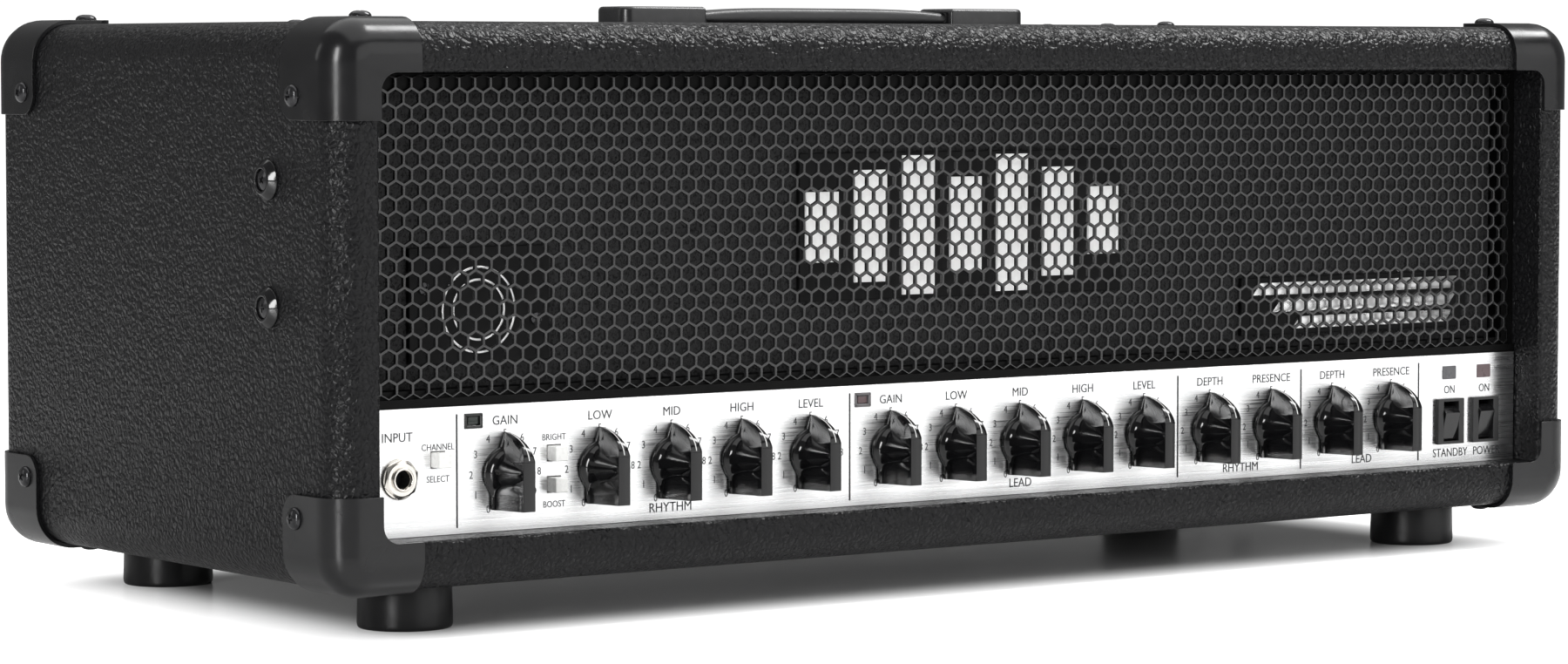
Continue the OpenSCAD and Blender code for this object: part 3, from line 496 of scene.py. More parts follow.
def laminated_material():
    s = Surface("laminations", (0.035, 0.035, 0.037), 0.5, metallic=0.4)
    wave = s.new("ShaderNodeTexWave", wave_type="BANDS", bands_direction="Y")
    wave.inputs["Scale"].default_value = 320
    s.link(s.coord, wave.inputs["Vector"])
    s.bump(wave.outputs["Fac"], 0.2)
    s.tint(wave.outputs["Fac"], (0.018, 0.018, 0.02), (0.05, 0.05, 0.052))
    return s.mat


M = {
    "vinyl": vinyl_material(),
    "brushed": brushed_material(),
    "cloth": cloth_material(),
    "wood": wood_material(),
    "protector": plain("corner_protector", (0.007, 0.007, 0.0076), 0.23, 30, 0.1, 0.05, 260,
                       specular=0.36),
    "black_steel": plain("black_steel", (0.035, 0.035, 0.037), 0.14, 300, 0.2, 0.01,
                         metallic=0.6),
    "gloss_black": plain("gloss_black", (0.006, 0.006, 0.0065), 0.1, 200, 0.15, 0.0),
    "knob": plain("knob_phenolic", (0.004, 0.004, 0.0044), 0.1, 120, 0.15, 0.012, 500,
                  specular=0.42),
    "line": plain("pointer_line", (0.62, 0.62, 0.61), 0.4, 60, 0.02, 0.0),
    "rubber": plain("foot_rubber", (0.008, 0.008, 0.0085), 0.34, 90, 0.3, 0.06, 420,
                    specular=0.3),
    "handle": plain("handle_plastic", (0.017, 0.017, 0.018), 0.3, 80, 0.12, 0.02, 700),
    "strap": plain("strap_skin", (0.016, 0.016, 0.017), 0.38, 90, 0.15, 0.05, 600),
    # Black paint of the frame, made darker than the other black paint as painted shade of the
    # recess below the mesh
    "frame": plain("frame_black", (0.002, 0.002, 0.002), 0.5, 60, 0.15, 0.05, 500,
                   specular=0.1),
    "grille": plain("grille_paint", (0.012, 0.012, 0.0124), 0.26, 90, 0.15, 0.02, 900,
                    specular=0.68),
    "badge": plain("badge_plate", (0.0035, 0.0035, 0.0038), 0.6, 60, 0.15, 0.02, specular=0.25),
    "white": plain("emblem_white", (0.98, 0.98, 0.97), 0.3, 60, 0.02, 0.0),
    "silver": plain("emblem_silver", (0.72, 0.72, 0.72), 0.28, 60, 0.05, 0.01, metallic=1.0),
    "ink": plain("panel_ink", (0.045, 0.045, 0.048), 0.5, 300, 0.15, 0.0, specular=0.2),
    "zinc": plain("zinc_sheet", (0.56, 0.56, 0.54), 0.36, 25, 0.18, 0.03, 200, metallic=1.0),
    "nickel": plain("nickel", (0.74, 0.71, 0.66), 0.16, 150, 0.06, 0.01, metallic=1.0),
    "bore": plain("jack_bore", (0.012, 0.012, 0.012), 0.5, 100, 0.1, 0.0),
    "cap": plain("button_cap", (0.84, 0.84, 0.82), 0.28, 200, 0.03, 0.01),
    "moulded": plain("moulded_black", (0.011, 0.011, 0.0115), 0.36, 150, 0.12, 0.03, 1100),
    "lens_dark": plain("lens_dark", (0.010, 0.011, 0.010), 0.3, 200, 0.2, 0.0),
    "lens_green": plain("lens_green", (0.006, 0.013, 0.009), 0.2, 200, 0.2, 0.0),
    "lens_grey": plain("lens_grey", (0.115, 0.108, 0.112), 0.32, 200, 0.12, 0.0),
    "lens_rose": plain("lens_rose", (0.105, 0.062, 0.066), 0.25, 200, 0.12, 0.0),
    "lens_pale": plain("lens_pale", (0.10, 0.10, 0.105), 0.3, 200, 0.12, 0.0),
    "lens_red": plain("lens_red", (0.125, 0.088, 0.092), 0.3, 200, 0.12, 0.0),
    "board": plain("board_green", (0.03, 0.15, 0.06), 0.4, 60, 0.2, 0.02),
    "sleeve": plain("capacitor_sleeve", (0.02, 0.035, 0.14), 0.24, 80, 0.12, 0.01),
    "glass": glass_material(),
    "anode": plain("anode_plate", (0.10, 0.10, 0.105), 0.5, 60, 0.2, 0.03, metallic=0.6),
    "getter": plain("getter_mirror", (0.62, 0.62, 0.64), 0.12, 40, 0.2, 0.0, metallic=1.0),
    "ceramic": plain("socket_ceramic", (0.80, 0.78, 0.71), 0.25, 60, 0.05, 0.01),
    "laminated": laminated_material(),
    "guard": plain("powder_coat", (0.012, 0.012, 0.0125), 0.45, 60, 0.1, 0.08, 700),
    "rear_ink": plain("rear_ink", (0.78, 0.78, 0.77), 0.5, 300, 0.05, 0.0),
}
# The white bars glow slightly, to look as light through the mesh as in the picture
emblem_inputs = M["white"].node_tree.nodes["Principled BSDF"].inputs
emblem_inputs["Emission Color"].default_value = (1, 1, 1, 1)
emblem_inputs["Emission Strength"].default_value = 0.22

# ---------------- main planes and camera

cab_lo, cab_hi = span("vinyl_covering")
grille_lo, grille_hi = span("hex_grille")
joint_at = {j["child"]: Vector(j.get("pos_m", (0, 0, 0))) / MM for j in frame["joints"]}
FACE = span("front_panel")[0].y  # face of the control panel
REAR = span("rear_panel")[1].y  # face of the rear panel
SIDE_R, EDGE_R, WALL = 16.0, 13.0, 20.0  # corners seen from the front, edges, wall thickness
mid_z = (cab_lo.z + cab_hi.z) / 2

# The picture's camera, fitted to the straight edges of the box, the panel and the feet
camera = bpy.data.objects.new("camera", bpy.data.cameras.new("camera"))
scene.collection.objects.link(camera)
camera.location = (-1.2527, -1.67616, 0.22637)
camera.rotation_euler = (math.radians(86.642), 0, math.radians(-36.388))
camera.data.lens, camera.data.sensor_width = 106.95, 36
camera.data.clip_start, camera.data.clip_end = 0.05, 60
scene.camera = camera

# ---------------- cabinet


def contour(depth):
    """Outline of the box seen from the front, moved inwards by depth, in X and Z."""
    w, h = cab_hi.x - cab_lo.x - 2 * depth, cab_hi.z - cab_lo.z - 2 * depth
    return [(x, z + mid_z) for x, z in rect(w, h, max(SIDE_R - depth, 0.9), 10)]


def sleeve():
    """Wrapped box: the section round one wall, swept round the outline."""
    w = cab_hi.y
    mouth = 1.8
    half = rounded([(0, 0, 0), (0, -w, EDGE_R), (WALL, -w, mouth), (WALL, 0, 0)], 10, False)
    section = half + [(d, -y) for d, y in reversed(half[1:-1])]
    return loft([[(x, y, z) for x, z in contour(d)] for d, y in section], loop=True)


piece("vinyl_wrap", Shape().add(sleeve()).mesh("vinyl_wrap", [M["vinyl"]]), "cabinet",
      "black_vinyl", "vinyl_covering")
refine("corner_protectors", M["protector"], 0.55, 2, 40)


def cross(a, b, h):
    """Outline of a cross with arms of half length a and half width b, at height h."""
    quarter = [(a, -b), (a, b), (b, b)]
    turns = [(1, 0), (0, 1), (-1, 0), (0, -1)]
    return [(x * c - y * s, x * s + y * c, h) for c, s in turns for x, y in quarter]


def cross_cutter(size, depth):
    """Tapered cross that cuts a Phillips recess downwards from z = 0."""
    low, top = cross(size * 0.17, size * 0.07, -depth), cross(size / 2, size * 0.12, 0.8)
    return Shape().add(loft([low, top])).mesh("cutter", [])


def with_recess(part, height, size, depth):
    """Faces of a screw head whose top at that height has a Phillips recess."""
    head = Shape().add(part).mesh("head", [])
    cutter = cross_cutter(size, depth)
    cutter.transform(Matrix.Translation((0, 0, height * MM)))
    made = boolean(head, cutter)
    return ([tuple(v.co / MM) for v in made.vertices],
            [tuple(p.vertices) for p in made.polygons])


PAN_HEAD = with_recess(lathe([(0, -0.2), (4.3, -0.2), (4.5, 0.25), (4.35, 0.85), (3.7, 1.6),
                              (2.7, 2.1), (1.4, 2.36), (0, 2.4)], 40), 2.1, 4.6, 1.5)
FLAT_HEAD = with_recess(lathe([(0, -1.6), (2.6, -1.6), (3.9, -0.5), (4.15, 0), (3.9, 0.28),
                               (2.2, 0.75), (0, 0.9)], 40), 0.7, 4.4, 1.5)

PROTECTOR = 1.8  # thickness of a corner protector
SCREW_IN = 29.0  # its screws, from the box's corner
FOOT_HEAD = 8.5  # screw head below the top of a foot
INLET_HALF = 20.0  # mains inlet's screws, from its middle
screws = Shape()
for sx in (-1, 1):
    for sy in (-1, 1):
        for sz in (-1, 1):
            x, y, z = sx * cab_hi.x, sy * (cab_hi.y - SCREW_IN), mid_z + sz * (cab_hi.z - mid_z)
            turn = 0.5 + sx + 2 * sy + 0.7 * sz
            screws.add(PAN_HEAD, place(x + sx * PROTECTOR, y, z - sz * SCREW_IN,
                                       "right" if sx > 0 else "left", turn))
            screws.add(PAN_HEAD, place(x - sx * SCREW_IN, y, z + sz * PROTECTOR,
                                       "up" if sz > 0 else "down", turn + 1))
cap_lo, cap_hi = span("handle_end_caps")
CAP_SCREW = cap_hi.x - 17  # screw of an end cap
for sx in (-1, 1):
    screws.add(FLAT_HEAD, place(sx * CAP_SCREW, 0, cap_hi.z - 0.95, "up", 0.4 * sx))
    screws.add(lathe([(0, -11), (1.7, -11), (1.7, -1), (0, -1)], 20),
               place(sx * CAP_SCREW, 0, cap_hi.z))
feet = islands("rubber_feet")
for lo, hi in feet:
    screws.add(PAN_HEAD, place((lo.x + hi.x) / 2, (lo.y + hi.y) / 2, hi.z - FOOT_HEAD, "down",
                               lo.x))
inlet_lo, inlet_hi = islands("mains_inlet_and_fuses")[-1]
# The jacks' axes are level with the inlet's
inlet_x, axis_z = (inlet_lo.x + inlet_hi.x) / 2, (inlet_lo.z + inlet_hi.z) / 2
for sx in (-1, 1):
    screws.add(FLAT_HEAD, place(inlet_x + sx * INLET_HALF, REAR + 2.9, axis_z, "back",
                                0.8 * sx))
piece("screw_heads", screws.mesh("screw_heads", [M["black_steel"]], 32), "cabinet",
      "black_steel", "screws")

washers, bolts = Shape(), Shape()
CUP = rounded([(4.3, 0.2, 0), (8.2, 0, 0), (8.2, 0.9, 0.5), (5.6, 3.5, 0.9), (4.4, 3.5, 0.4),
               (4.3, 0.7, 0)], 4)


def bolt(spot, grip, head):
    """Bolt along local Z with its head's seat at z = 0 and a hexagon nut at the far end."""
    bolts.add(head, spot)
    bolts.add(lathe([(0, -grip - 3.8), (2.4, -grip - 3.8), (2.4, 0.5), (0, 0.5)], 24), spot)
    bolts.add(slab(hexagon(4.6), soft_levels(-grip - 3.2, -grip, 0.4, 2, True)), spot)


for lo, hi in islands("cup_washers"):
    c = (lo + hi) / 2
    spot = place(math.copysign(cab_hi.x, c.x), c.y, c.z, "left" if c.x < 0 else "right", 0.9 * c.z)
    washers.add(lathe(CUP, 56, loop=True), spot)
    bolt(spot, WALL + 2, [[(x, y, z + 2.3) for x, y, z in FLAT_HEAD[0]], FLAT_HEAD[1]])
TRUSS = lathe(rounded([(0, 0, 0), (5.5, 0, 0), (5.5, 2.6, 1.4), (0, 2.6, 0)], 4, False), 40)
for lo, hi in islands("cabinet_bolts"):
    c = (lo + hi) / 2
    if lo.z < cab_lo.z - 1:
        bolt(place(c.x, c.y, cab_lo.z, "down"), WALL + 1.5, TRUSS)
    elif hi.z > cab_hi.z + 1:
        bolt(place(c.x, c.y, cab_hi.z, "up", c.y), WALL + 1.5, PAN_HEAD)
piece("cup_rings", washers.mesh("cup_rings", [M["gloss_black"]], 30), "cabinet", "gloss_black",
      "cup_washers")
piece("bolt_set", bolts.mesh("bolt_set", [M["black_steel"]], 32), "cabinet", "black_steel",
      "cabinet_bolts")

rubber = Shape()
for lo, hi in feet:
    r, h = (hi.x - lo.x) / 2, hi.z - lo.z
    section = rounded([(5, h, 0), (r - 0.4, h, 0.4), (r, 2.2, 0), (r - 0.3, 0, 1.3),
                       (r - 3.5, 0, 0.8), (r - 4.2, 0.5, 0.6), (5.6, 0.5, 0.8), (5, 9, 0)], 4)
    rubber.add(lathe(section, 72, loop=True), place((lo.x + hi.x) / 2, (lo.y + hi.y) / 2, lo.z))
piece("feet", rubber.mesh("feet", [M["rubber"]], 32), "cabinet", "rubber", "rubber_feet")

# ---------------- handle

CAP_LEN = 43.4  # length of an end cap
ROOM, ROOM_H = 9.6, 6.3  # half width and height of the strap's room in it


def handle_cap(side):
    """Moulded cap: rounded box, hollow for the strap, with a recessed screw seat."""
    x0, x1 = cap_hi.x - CAP_LEN, cap_hi.x
    w, h = cap_hi.y - cap_lo.y, cap_hi.z - cap_lo.z
    outline = rounded([(x1, w / 2, 5.5), (x0, w / 2, 1.2), (x0, -w / 2, 1.2), (x1, -w / 2, 5.5)], 6)
    body = Shape().add(slab(outline, [(0.4, 0), (0, 0.5)] + soft_levels(1, h, 1.9, 5)[1:]))
    room = Shape().add(slab([(x1 - 4, ROOM), (x0 - 5, ROOM), (x0 - 5, -ROOM), (x1 - 4, -ROOM)],
                            [(0, -1), (0, ROOM_H)]))
    seat = Shape().add(lathe([(0, h - 0.75), (4.5, h - 0.75), (4.7, h + 3), (0, h + 3)], 40),
                       place(CAP_SCREW))
    me = boolean(body.mesh("cap", []), room.mesh("room", []))
    me = boolean(me, seat.mesh("seat", []))
    turn = Matrix.Rotation(math.pi if side < 0 else 0, 4, "Z")
    return ([tuple(turn @ (v.co / MM) + Vector((0, 0, cap_lo.z))) for v in me.vertices],
            [tuple(p.vertices) for p in me.polygons])


caps = Shape().add(handle_cap(1)).add(handle_cap(-1))
for side in (-1, 1):
    caps.add(lathe([(1.8, 0), (3.2, 0), (3.2, 7.3), (1.8, 7.3)], 24, True),
             place(side * CAP_SCREW, 0, cap_lo.z))
piece("end_caps", caps.mesh("end_caps", [M["handle"]], 34), "cabinet", "handle_plastic",
      "handle_end_caps")

strap_lo, strap_hi = span("handle_strap_right")
CROWN, CROWN_HALF = 1.7, 66  # rise of the strap's middle and half the length it covers


def strap_run(x0, x1, steps):
    """Strap between two stations: a flat band with a crowned top and rolled edges."""
    low, high = strap_lo.z, strap_hi.z
    half = (strap_hi.y - strap_lo.y) / 2
    rings = []
    for k in range(steps + 1):
        x = x0 + (x1 - x0) * k / steps
        rise = CROWN * max(0, 1 - (x / CROWN_HALF) ** 4)
        z0, z1 = low - 0.6, high + rise
        outline = [(half, z0 + 1.6), (half - 0.5, z1 - 1.3), (half - 1.7, z1 - 0.35),
                   (half - 4, z1), (0, z1 + 0.15), (4 - half, z1), (1.7 - half, z1 - 0.35),
                   (0.5 - half, z1 - 1.3), (-half, z0 + 1.6), (0.5 - half, z0 + 0.5),
                   (1.6 - half, z0), (0, z0), (half - 1.6, z0), (half - 0.5, z0 + 0.5)]
        rings.append([(x, y, z) for y, z in outline])
    return loft(rings)


def strap_piece(name, x0, x1, a, b, start, end, *nodes):
    me = Shape().add(strap_run(x0, x1, 14)).mesh(name, [M["strap"]], 50)
    obj = bpy.data.objects.new(name, me)
    scene.collection.objects.link(obj)
    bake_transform(obj)
    if nodes:
        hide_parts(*nodes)


strap_piece("strap_mid_left", 0, -36, "strap_middle", "strap_left", -1, -16,
            "handle_strap_middle", "handle_strap_left")
strap_piece("strap_mid_right", 0, 36, "strap_middle", "strap_right", 1, 16, "handle_strap_right")
strap_piece("strap_end_left", -36, -75, "strap_left", "slider_left", -57, -71)
strap_piece("strap_end_right", 36, 75, "strap_right", "slider_right", 57, 71)

# ---------------- grille

PITCH, ROW, WEB = 7.345, 5.99, 1.25  # cell spacing, row spacing, metal between two cells
FIRST_X, FIRST_Z = -297.76, 211.0  # middle of one cell of the first row
FOLD_TOP, FOLD_LOW, FOLD_X = 220.0, 93.3, 311.0  # where the sheet bends back


def folded(x, y, z):
    """The sheet's edges are bent back into the box."""
    if z > FOLD_TOP:
        y, z = y + (z - FOLD_TOP), FOLD_TOP
    if z < FOLD_LOW:
        y, z = y + (FOLD_LOW - z), FOLD_LOW
    if abs(x) > FOLD_X:
        y, x = y + (abs(x) - FOLD_X), math.copysign(FOLD_X, x)
    return x, y, z


def hex_sheet():
    y0, y1 = grille_lo.y, grille_hi.y
    hole = (PITCH - WEB) / 2
    levels = ((PITCH / 2, y0), (hole + 0.32, y0), (hole + 0.1, y0 + 0.12), (hole, y0 + 0.4),
              (hole, y1), (PITCH / 2, y1))
    rise = ROW / 1.5 / (PITCH / 2)
    s = Shape()
    for row in range(-1, 20):
        z = FIRST_Z - ROW * row
        shift = PITCH / 2 if row % 2 else 0
        for k in range(-4, 86):
            x = FIRST_X + PITCH * k + shift
            if abs(x) < FOLD_X + 4:
                rings = [[folded(x + a / math.cos(math.pi / 6) * math.sin(t * math.pi / 3), y,
                                 z + a * rise * math.cos(t * math.pi / 3))
                          for t in range(6)] for a, y in levels]
                s.add(loft(rings, caps=False))
    return s


piece("hex_mesh", hex_sheet().mesh("hex_mesh", [M["grille"]], 30, merge=True), "cabinet",
      "grille_wire", "hex_grille")
refine("grille_frame", M["frame"], 0.4)
refine("backing_board", M["cloth"], 0.3)
refine("badge_plates", M["badge"], 0.4)

WHITE_BAR = (17, 59, 25.6)  # width, greatest height and spacing of the upright bars
SHARES = (0.5, 0.8, 1.0, 0.68, 1.0, 0.8, 0.5)  # their heights, as shares of that height
SILVER_LEN, SILVER_H, SILVER_LEAN = 124, 5.6, 5.0  # the slanted bars; the first is longest
SILVER_STEP = (5, 7.8)  # each silver bar from the one above: to the right and down
SILVER_SHORTER = 14  # and how much shorter it is
RINGS, RING_WIDE = (17.5, 12.5), 1.1
PLATE_SCREWS = ((-280.3, 136), (-227.5, 122.5))

emblem = Shape()
left_plate, mid_plate, right_plate = islands("badge_plates")


def bar(plate, w, h, lean, x, z, mat):
    """Raised bar at (x, z) from the middle of a plate, leaning by lean and facing the front."""
    mid = (plate[0] + plate[1]) / 2
    outline = [(w / 2 + lean / 2, h / 2), (-w / 2 + lean / 2, h / 2),
               (-w / 2 - lean / 2, -h / 2), (w / 2 - lean / 2, -h / 2)]
    emblem.add(slab(outline, soft_levels(-0.2, 1.2, 0.3, 2)),
               place(mid.x + x, plate[0].y, mid.z + z, "front"), mat)


for k, share in enumerate(SHARES):
    bar(mid_plate, WHITE_BAR[0], WHITE_BAR[1] * share, 0, (k - 3) * WHITE_BAR[2], 0, 0)
for k in range(3):
    bar(right_plate, SILVER_LEN - SILVER_SHORTER * k, SILVER_H, SILVER_LEAN, SILVER_STEP[0] * k,
        SILVER_STEP[1] * (1 - k), 1)
left_mid = (left_plate[0] + left_plate[1]) / 2
for radius in RINGS:
    band = rounded([(radius - RING_WIDE, -0.2, 0), (radius, -0.2, 0), (radius, 0.8, 0.3),
                    (radius - RING_WIDE, 0.8, 0.3)], 3)
    emblem.add(lathe(band, 72, True),
               place(left_mid.x - 1, left_plate[0].y, left_mid.z - 2, "front"), 1)
for x, z in PLATE_SCREWS:
    emblem.add(FLAT_HEAD,
               place(x, left_plate[0].y - 0.6, z, "front", x) @ Matrix.Scale(0.62, 4), 2)
piece("emblems", emblem.mesh("emblems", [M["white"], M["silver"], M["black_steel"]], 30), "cabinet",
      "badge")

# ---------------- control panel

refine("front_panel", M["brushed"], 0.3)
for node, material, width in (
        ("potentiometers", "nickel", 0.3), ("switch_housings", "moulded", 0.3),
        ("rocker_frames", "moulded", 0.55), ("standby_rocker", "gloss_black", 0.35),
        ("power_rocker", "gloss_black", 0.35), ("channel_button", "cap", 0.5),
        ("bright_button", "cap", 0.5), ("crunch_button", "cap", 0.5)):
    refine(node, M[material], width, 3)


def nut(flats, thick, bore, turn):
    """Chamfered hexagon nut on z = 0."""
    outline = hexagon(flats / math.sqrt(3), turn)
    solid = Shape().add(slab(outline, [(0, 0), (0, thick)])).mesh("nut", [])
    cone = lathe([(0, -1), (flats * 0.62, -1), (flats * 0.62, thick * 0.35),
                  (flats * 0.46, thick + 0.01), (0, thick + 0.01)], 48)
    drill = lathe([(0, -1), (bore, -1), (bore, thick + 1), (0, thick + 1)], 40)
    made = boolean(solid, Shape().add(cone).mesh("limit", []), "INTERSECT")
    made = boolean(made, Shape().add(drill).mesh("hole", []))
    return [tuple(v.co / MM) for v in made.vertices], [tuple(f.vertices) for f in made.polygons]


def washer(inner, outer, thick, r):
    section = [(inner, 0, 0), (outer, 0, 0), (outer, thick, r), (inner, thick, 0)]
    return lathe(rounded(section, 4), 64, True)


nuts = Shape()
pot_nut = nut(10, 2, 3.5, 0.2)
knobs = [n for n in frame["nodes"] if n.startswith("knob_")]
for node in knobs:
    spot = place(joint_at[node].x, FACE, joint_at[node].z, "front")
    nuts.add(washer(3.5, 6, 0.6, 0.2), spot)
    nuts.add(pot_nut, spot @ place(z=0.6))
jack_x = middle("input_jack").x
spot = place(jack_x, FACE, axis_z, "front")
nuts.add(washer(4.75, 8.2, 1.3, 0.9), spot)
nuts.add(nut(14, 2, 4.7, 0.35), spot @ place(z=0.8))
piece("nuts", nuts.mesh("nuts", [M["nickel"]], 25), "cabinet", "nickel", "control_nuts")

# Threaded bushing with a bevelled mouth, its black bore, and the jack's body behind the panel
depth = span("input_jack")[1].y - FACE
jack = Shape().add(lathe(rounded([(4.75, -4, 0), (4.75, 4, 0.45), (3.9, 4, 0.2),
                                  (3.25, 3.1, 0.3), (3.25, -4, 0)], 4), 64, True), spot)
jack.add(lathe([(3.25, 2.2), (3.35, 2.2), (3.35, -20), (3.25, -20)], 40, True), spot, 1)
jack.add(lathe([(0, -20), (3.3, -20), (3.3, -20.4), (0, -20.4)], 40), spot, 1)
jack.add(block(20, 16, depth - 3.5, 0.8), place(jack_x, FACE + depth, axis_z, "front"), 1)
piece("jack", jack.mesh("jack", [M["nickel"], M["bore"]], 32), "cabinet", "nickel", "input_jack")

lenses = Shape()
for (lo, hi), (rim, pane) in zip(islands("indicator_lenses"), ((0, 1), (2, 3), (4, 4), (5, 5))):
    c, w, h = (lo + hi) / 2, hi.x - lo.x, hi.z - lo.z
    spot = place(c.x, FACE, c.z, "front")
    if rim == pane:
        levels = [(0, -3), (0, 0.25), (0.2, 0.4)]
    else:
        levels = [(0, -3), (0, 0.25), (0.12, 0.4), (1.0, 0.4), (1.2, 0.2), (1.3, -0.7)]
    lenses.add(slab(rect(w, h, 0.5, 3), levels), spot, rim)
    if rim != pane:
        window = slab(rect(w - 3.8, h - 3.2, 0.3, 2), [(0, -0.9), (0, -0.3), (0.3, -0.2)])
        lenses.add(window, spot, pane)
LENS_LOOKS = [M[n] for n in ("lens_dark", "lens_green", "lens_grey", "lens_rose", "lens_pale",
                             "lens_red")]
piece("lens_set", lenses.mesh("lens_set", LENS_LOOKS, 30), "cabinet", "lens", "indicator_lenses")

KNOB_H, NOSE, TAIL = 17.6, 16.3, -14.4  # height, and both ends from the axis
SHOULDER = 5.4  # where the ridge starts to fall towards the nose
KNOB_R, TAIL_HALF, RIDGE_HALF, RIM = 10.5, 7.1, 2.9, 1.8
LINE_HALF = 0.22  # half the width of the white line


def knob_crest(s):
    """Height of the ridge, and half its width, at s along the pointer (+ towards the nose)."""
    t = max(0.0, (s - SHOULDER) / (NOSE + 0.15 - SHOULDER))
    height = KNOB_H * (1 - 0.15 * t - 0.85 * t ** 2.2) ** 0.6
    return height, RIDGE_HALF - 2.1 * t


def knob_section(s, shrink=0.0):
    """Section of the pointer knob across its pointer: rim, concave horn and upright ridge."""
    top, ridge = knob_crest(s)
    circle = math.sqrt(max(0.0, KNOB_R ** 2 - s * s))
    neck = 1.0 + 2.5 * max(0.0, (NOSE - s) / 7.4) if s > 0 else TAIL_HALF
    wide = (circle ** 12 + neck ** 12) ** (1 / 12)
    wide, ridge, top = wide - shrink, ridge - shrink * 0.4, top - shrink
    ridge = min(ridge, wide - 0.12)
    edge = min(0.35, ridge * 0.4)
    rim = min(RIM, top * 0.6)
    half = [(wide, 0.6), (wide, rim - 0.3), (wide - 0.1, rim - 0.08)]
    foot = ridge + 0.12
    steps = 14
    start = max(wide - 0.28, foot)
    for k in range(steps + 1):
        u = start + (foot - start) * k / steps
        reach = max(0.0, (KNOB_R - math.hypot(u, s)) / (KNOB_R - RIDGE_HALF - 0.4))
        horn = min(1.0, reach) ** 2.1
        slope = max(0.0, (TAIL_HALF - u) / (TAIL_HALF - RIDGE_HALF)) ** 1.7
        flank = min(1.0, max(0.0, -s / 8)) * slope
        lift = min(1.0, (horn ** 5 + flank ** 5) ** 0.2)
        half.append((u, min(rim + (top - rim) * lift, top - edge)))
    half += [(ridge, min(half[-1][1] + 0.3, top - edge)), (ridge, top - edge),
             (ridge - edge * 0.3, top - edge * 0.3), (ridge - edge, top)]
    return [(u, -h, s) for u, h in half + [(-u, h) for u, h in reversed(half)]]


def knob_mesh():
    """Pointer knob round its axis, with its white line and the end of its shaft."""
    count = 76
    body = [knob_section(TAIL, 0.25), knob_section(TAIL + 0.08, 0.08)]
    body += [knob_section(TAIL + 0.25 + (NOSE - TAIL - 0.35) * k / count) for k in range(count + 1)]
    body.append(knob_section(NOSE, 0.12))
    shape = Shape().add(loft(body))
    line = []
    for k in range(21):
        s = SHOULDER + 0.5 + (NOSE - SHOULDER - 0.9) * k / 20
        top = knob_crest(s)[0]
        over, under = -top - 0.07, -top + 0.3
        line.append([(LINE_HALF, over, s), (-LINE_HALF, over, s), (-LINE_HALF, under, s),
                     (LINE_HALF, under, s)])
    shape.add(loft(line), mat=1)
    shape.add(lathe([(0, 0), (3, 0), (3, 6), (0, 6)], 24), place(0, 6, 0, "front"), 2)
    return shape.mesh("knob", [M["knob"], M["line"], M["nickel"]], 40)


pointer = knob_mesh()
for node in knobs:
    at = joint_at[node]
    obj = bpy.data.objects.new(node + "_made", pointer)
    scene.collection.objects.link(obj)
    obj.location = at * MM
    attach(obj, node)
    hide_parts(node)

# ---------------- printing


def glyphs(text, height, squeeze=0.97):
    """Faces of a printed word round z = 0, centred, with the given capital height."""
    curve = bpy.data.curves.new("text", "FONT")
    curve.body, curve.align_x, curve.resolution_u = text, "CENTER", 3
    obj = bpy.data.objects.new("text", curve)
    scene.collection.objects.link(obj)
    bpy.context.view_layer.update()
    bm = bmesh.new()
    bm.from_mesh(bpy.data.meshes.new_from_object(obj))
    bpy.data.objects.remove(obj)
    bmesh.ops.remove_doubles(bm, verts=bm.verts, dist=1e-5)
    made = bmesh.ops.extrude_face_region(bm, geom=list(bm.faces))
    for v in made["geom"]:
        if isinstance(v, bmesh.types.BMVert):
            v.co.z += 1
    bm.verts.index_update()
    scale = height / CAPITAL
    verts = [(v.co.x * scale * squeeze, (v.co.y - CAPITAL / 2) * scale, INK * (v.co.z - 0.3))
             for v in bm.verts]
    faces = [[v.index for v in f.verts] for f in bm.faces]
    bm.free()
    return verts, faces


INK = 0.14  # thickness of printed ink
CAPITAL = 0.729  # height of a capital in Blender's font
DIAL_R, DIAL_TURN = 16.1, 150  # radius of a knob's scale and degrees from its middle to an end
TOP_LINE, SECTION_LINE = 83.4, 44.3  # heights of the two lines of words
LABEL, SMALL, TITLE = 3.8, 2.7, 4.0  # heights of capitals
DIGITS = [glyphs(str(n), 3.2, 0.86) for n in range(11)]
print_front = Shape()


def word(shape, text, x, z, height, facing="front", y=FACE, squeeze=0.97):
    shape.add(glyphs(text, height, squeeze), place(x, y, z, facing))


knob_at = {n: joint_at[n] for n in knobs}
for at in knob_at.values():
    for n in range(11):
        turn = math.radians(DIAL_TURN * (n - 5) / 5)
        print_front.add(DIGITS[n], place(at.x + DIAL_R * math.sin(turn), FACE,
                                         at.z + DIAL_R * math.cos(turn), "front"))
labels = {"gain": "GAIN", "low": "LOW", "mid": "MID", "high": "HIGH", "level": "LEVEL",
          "depth": "DEPTH", "presence": "PRESENCE"}
for node, at in knob_at.items():
    word(print_front, labels[node.split("_")[-1]], at.x, TOP_LINE, LABEL)
for text, x in (("RHYTHM", -168), ("LEAD", 16), ("RHYTHM", 143), ("LEAD", 217)):
    word(print_front, text, x, SECTION_LINE, TITLE)
word(print_front, "INPUT", jack_x - 0.8, 78.7, LABEL)
for text, node, z in (("CHANNEL", "channel", 74.1), ("SELECT", "channel", 61.5),
                      ("BRIGHT", "bright", 75.5), ("BOOST", "crunch", 48.6)):
    word(print_front, text, middle(node + "_button").x, z, SMALL, squeeze=0.89)
for node, text, aside in (("standby_rocker", "STANDBY", 1.2), ("power_rocker", "POWER", 2.2)):
    x = joint_at[node].x
    word(print_front, "ON", x + 0.5, 73.6, LABEL, squeeze=0.86)
    word(print_front, text, x + aside, 44.4, TITLE, squeeze=0.92)
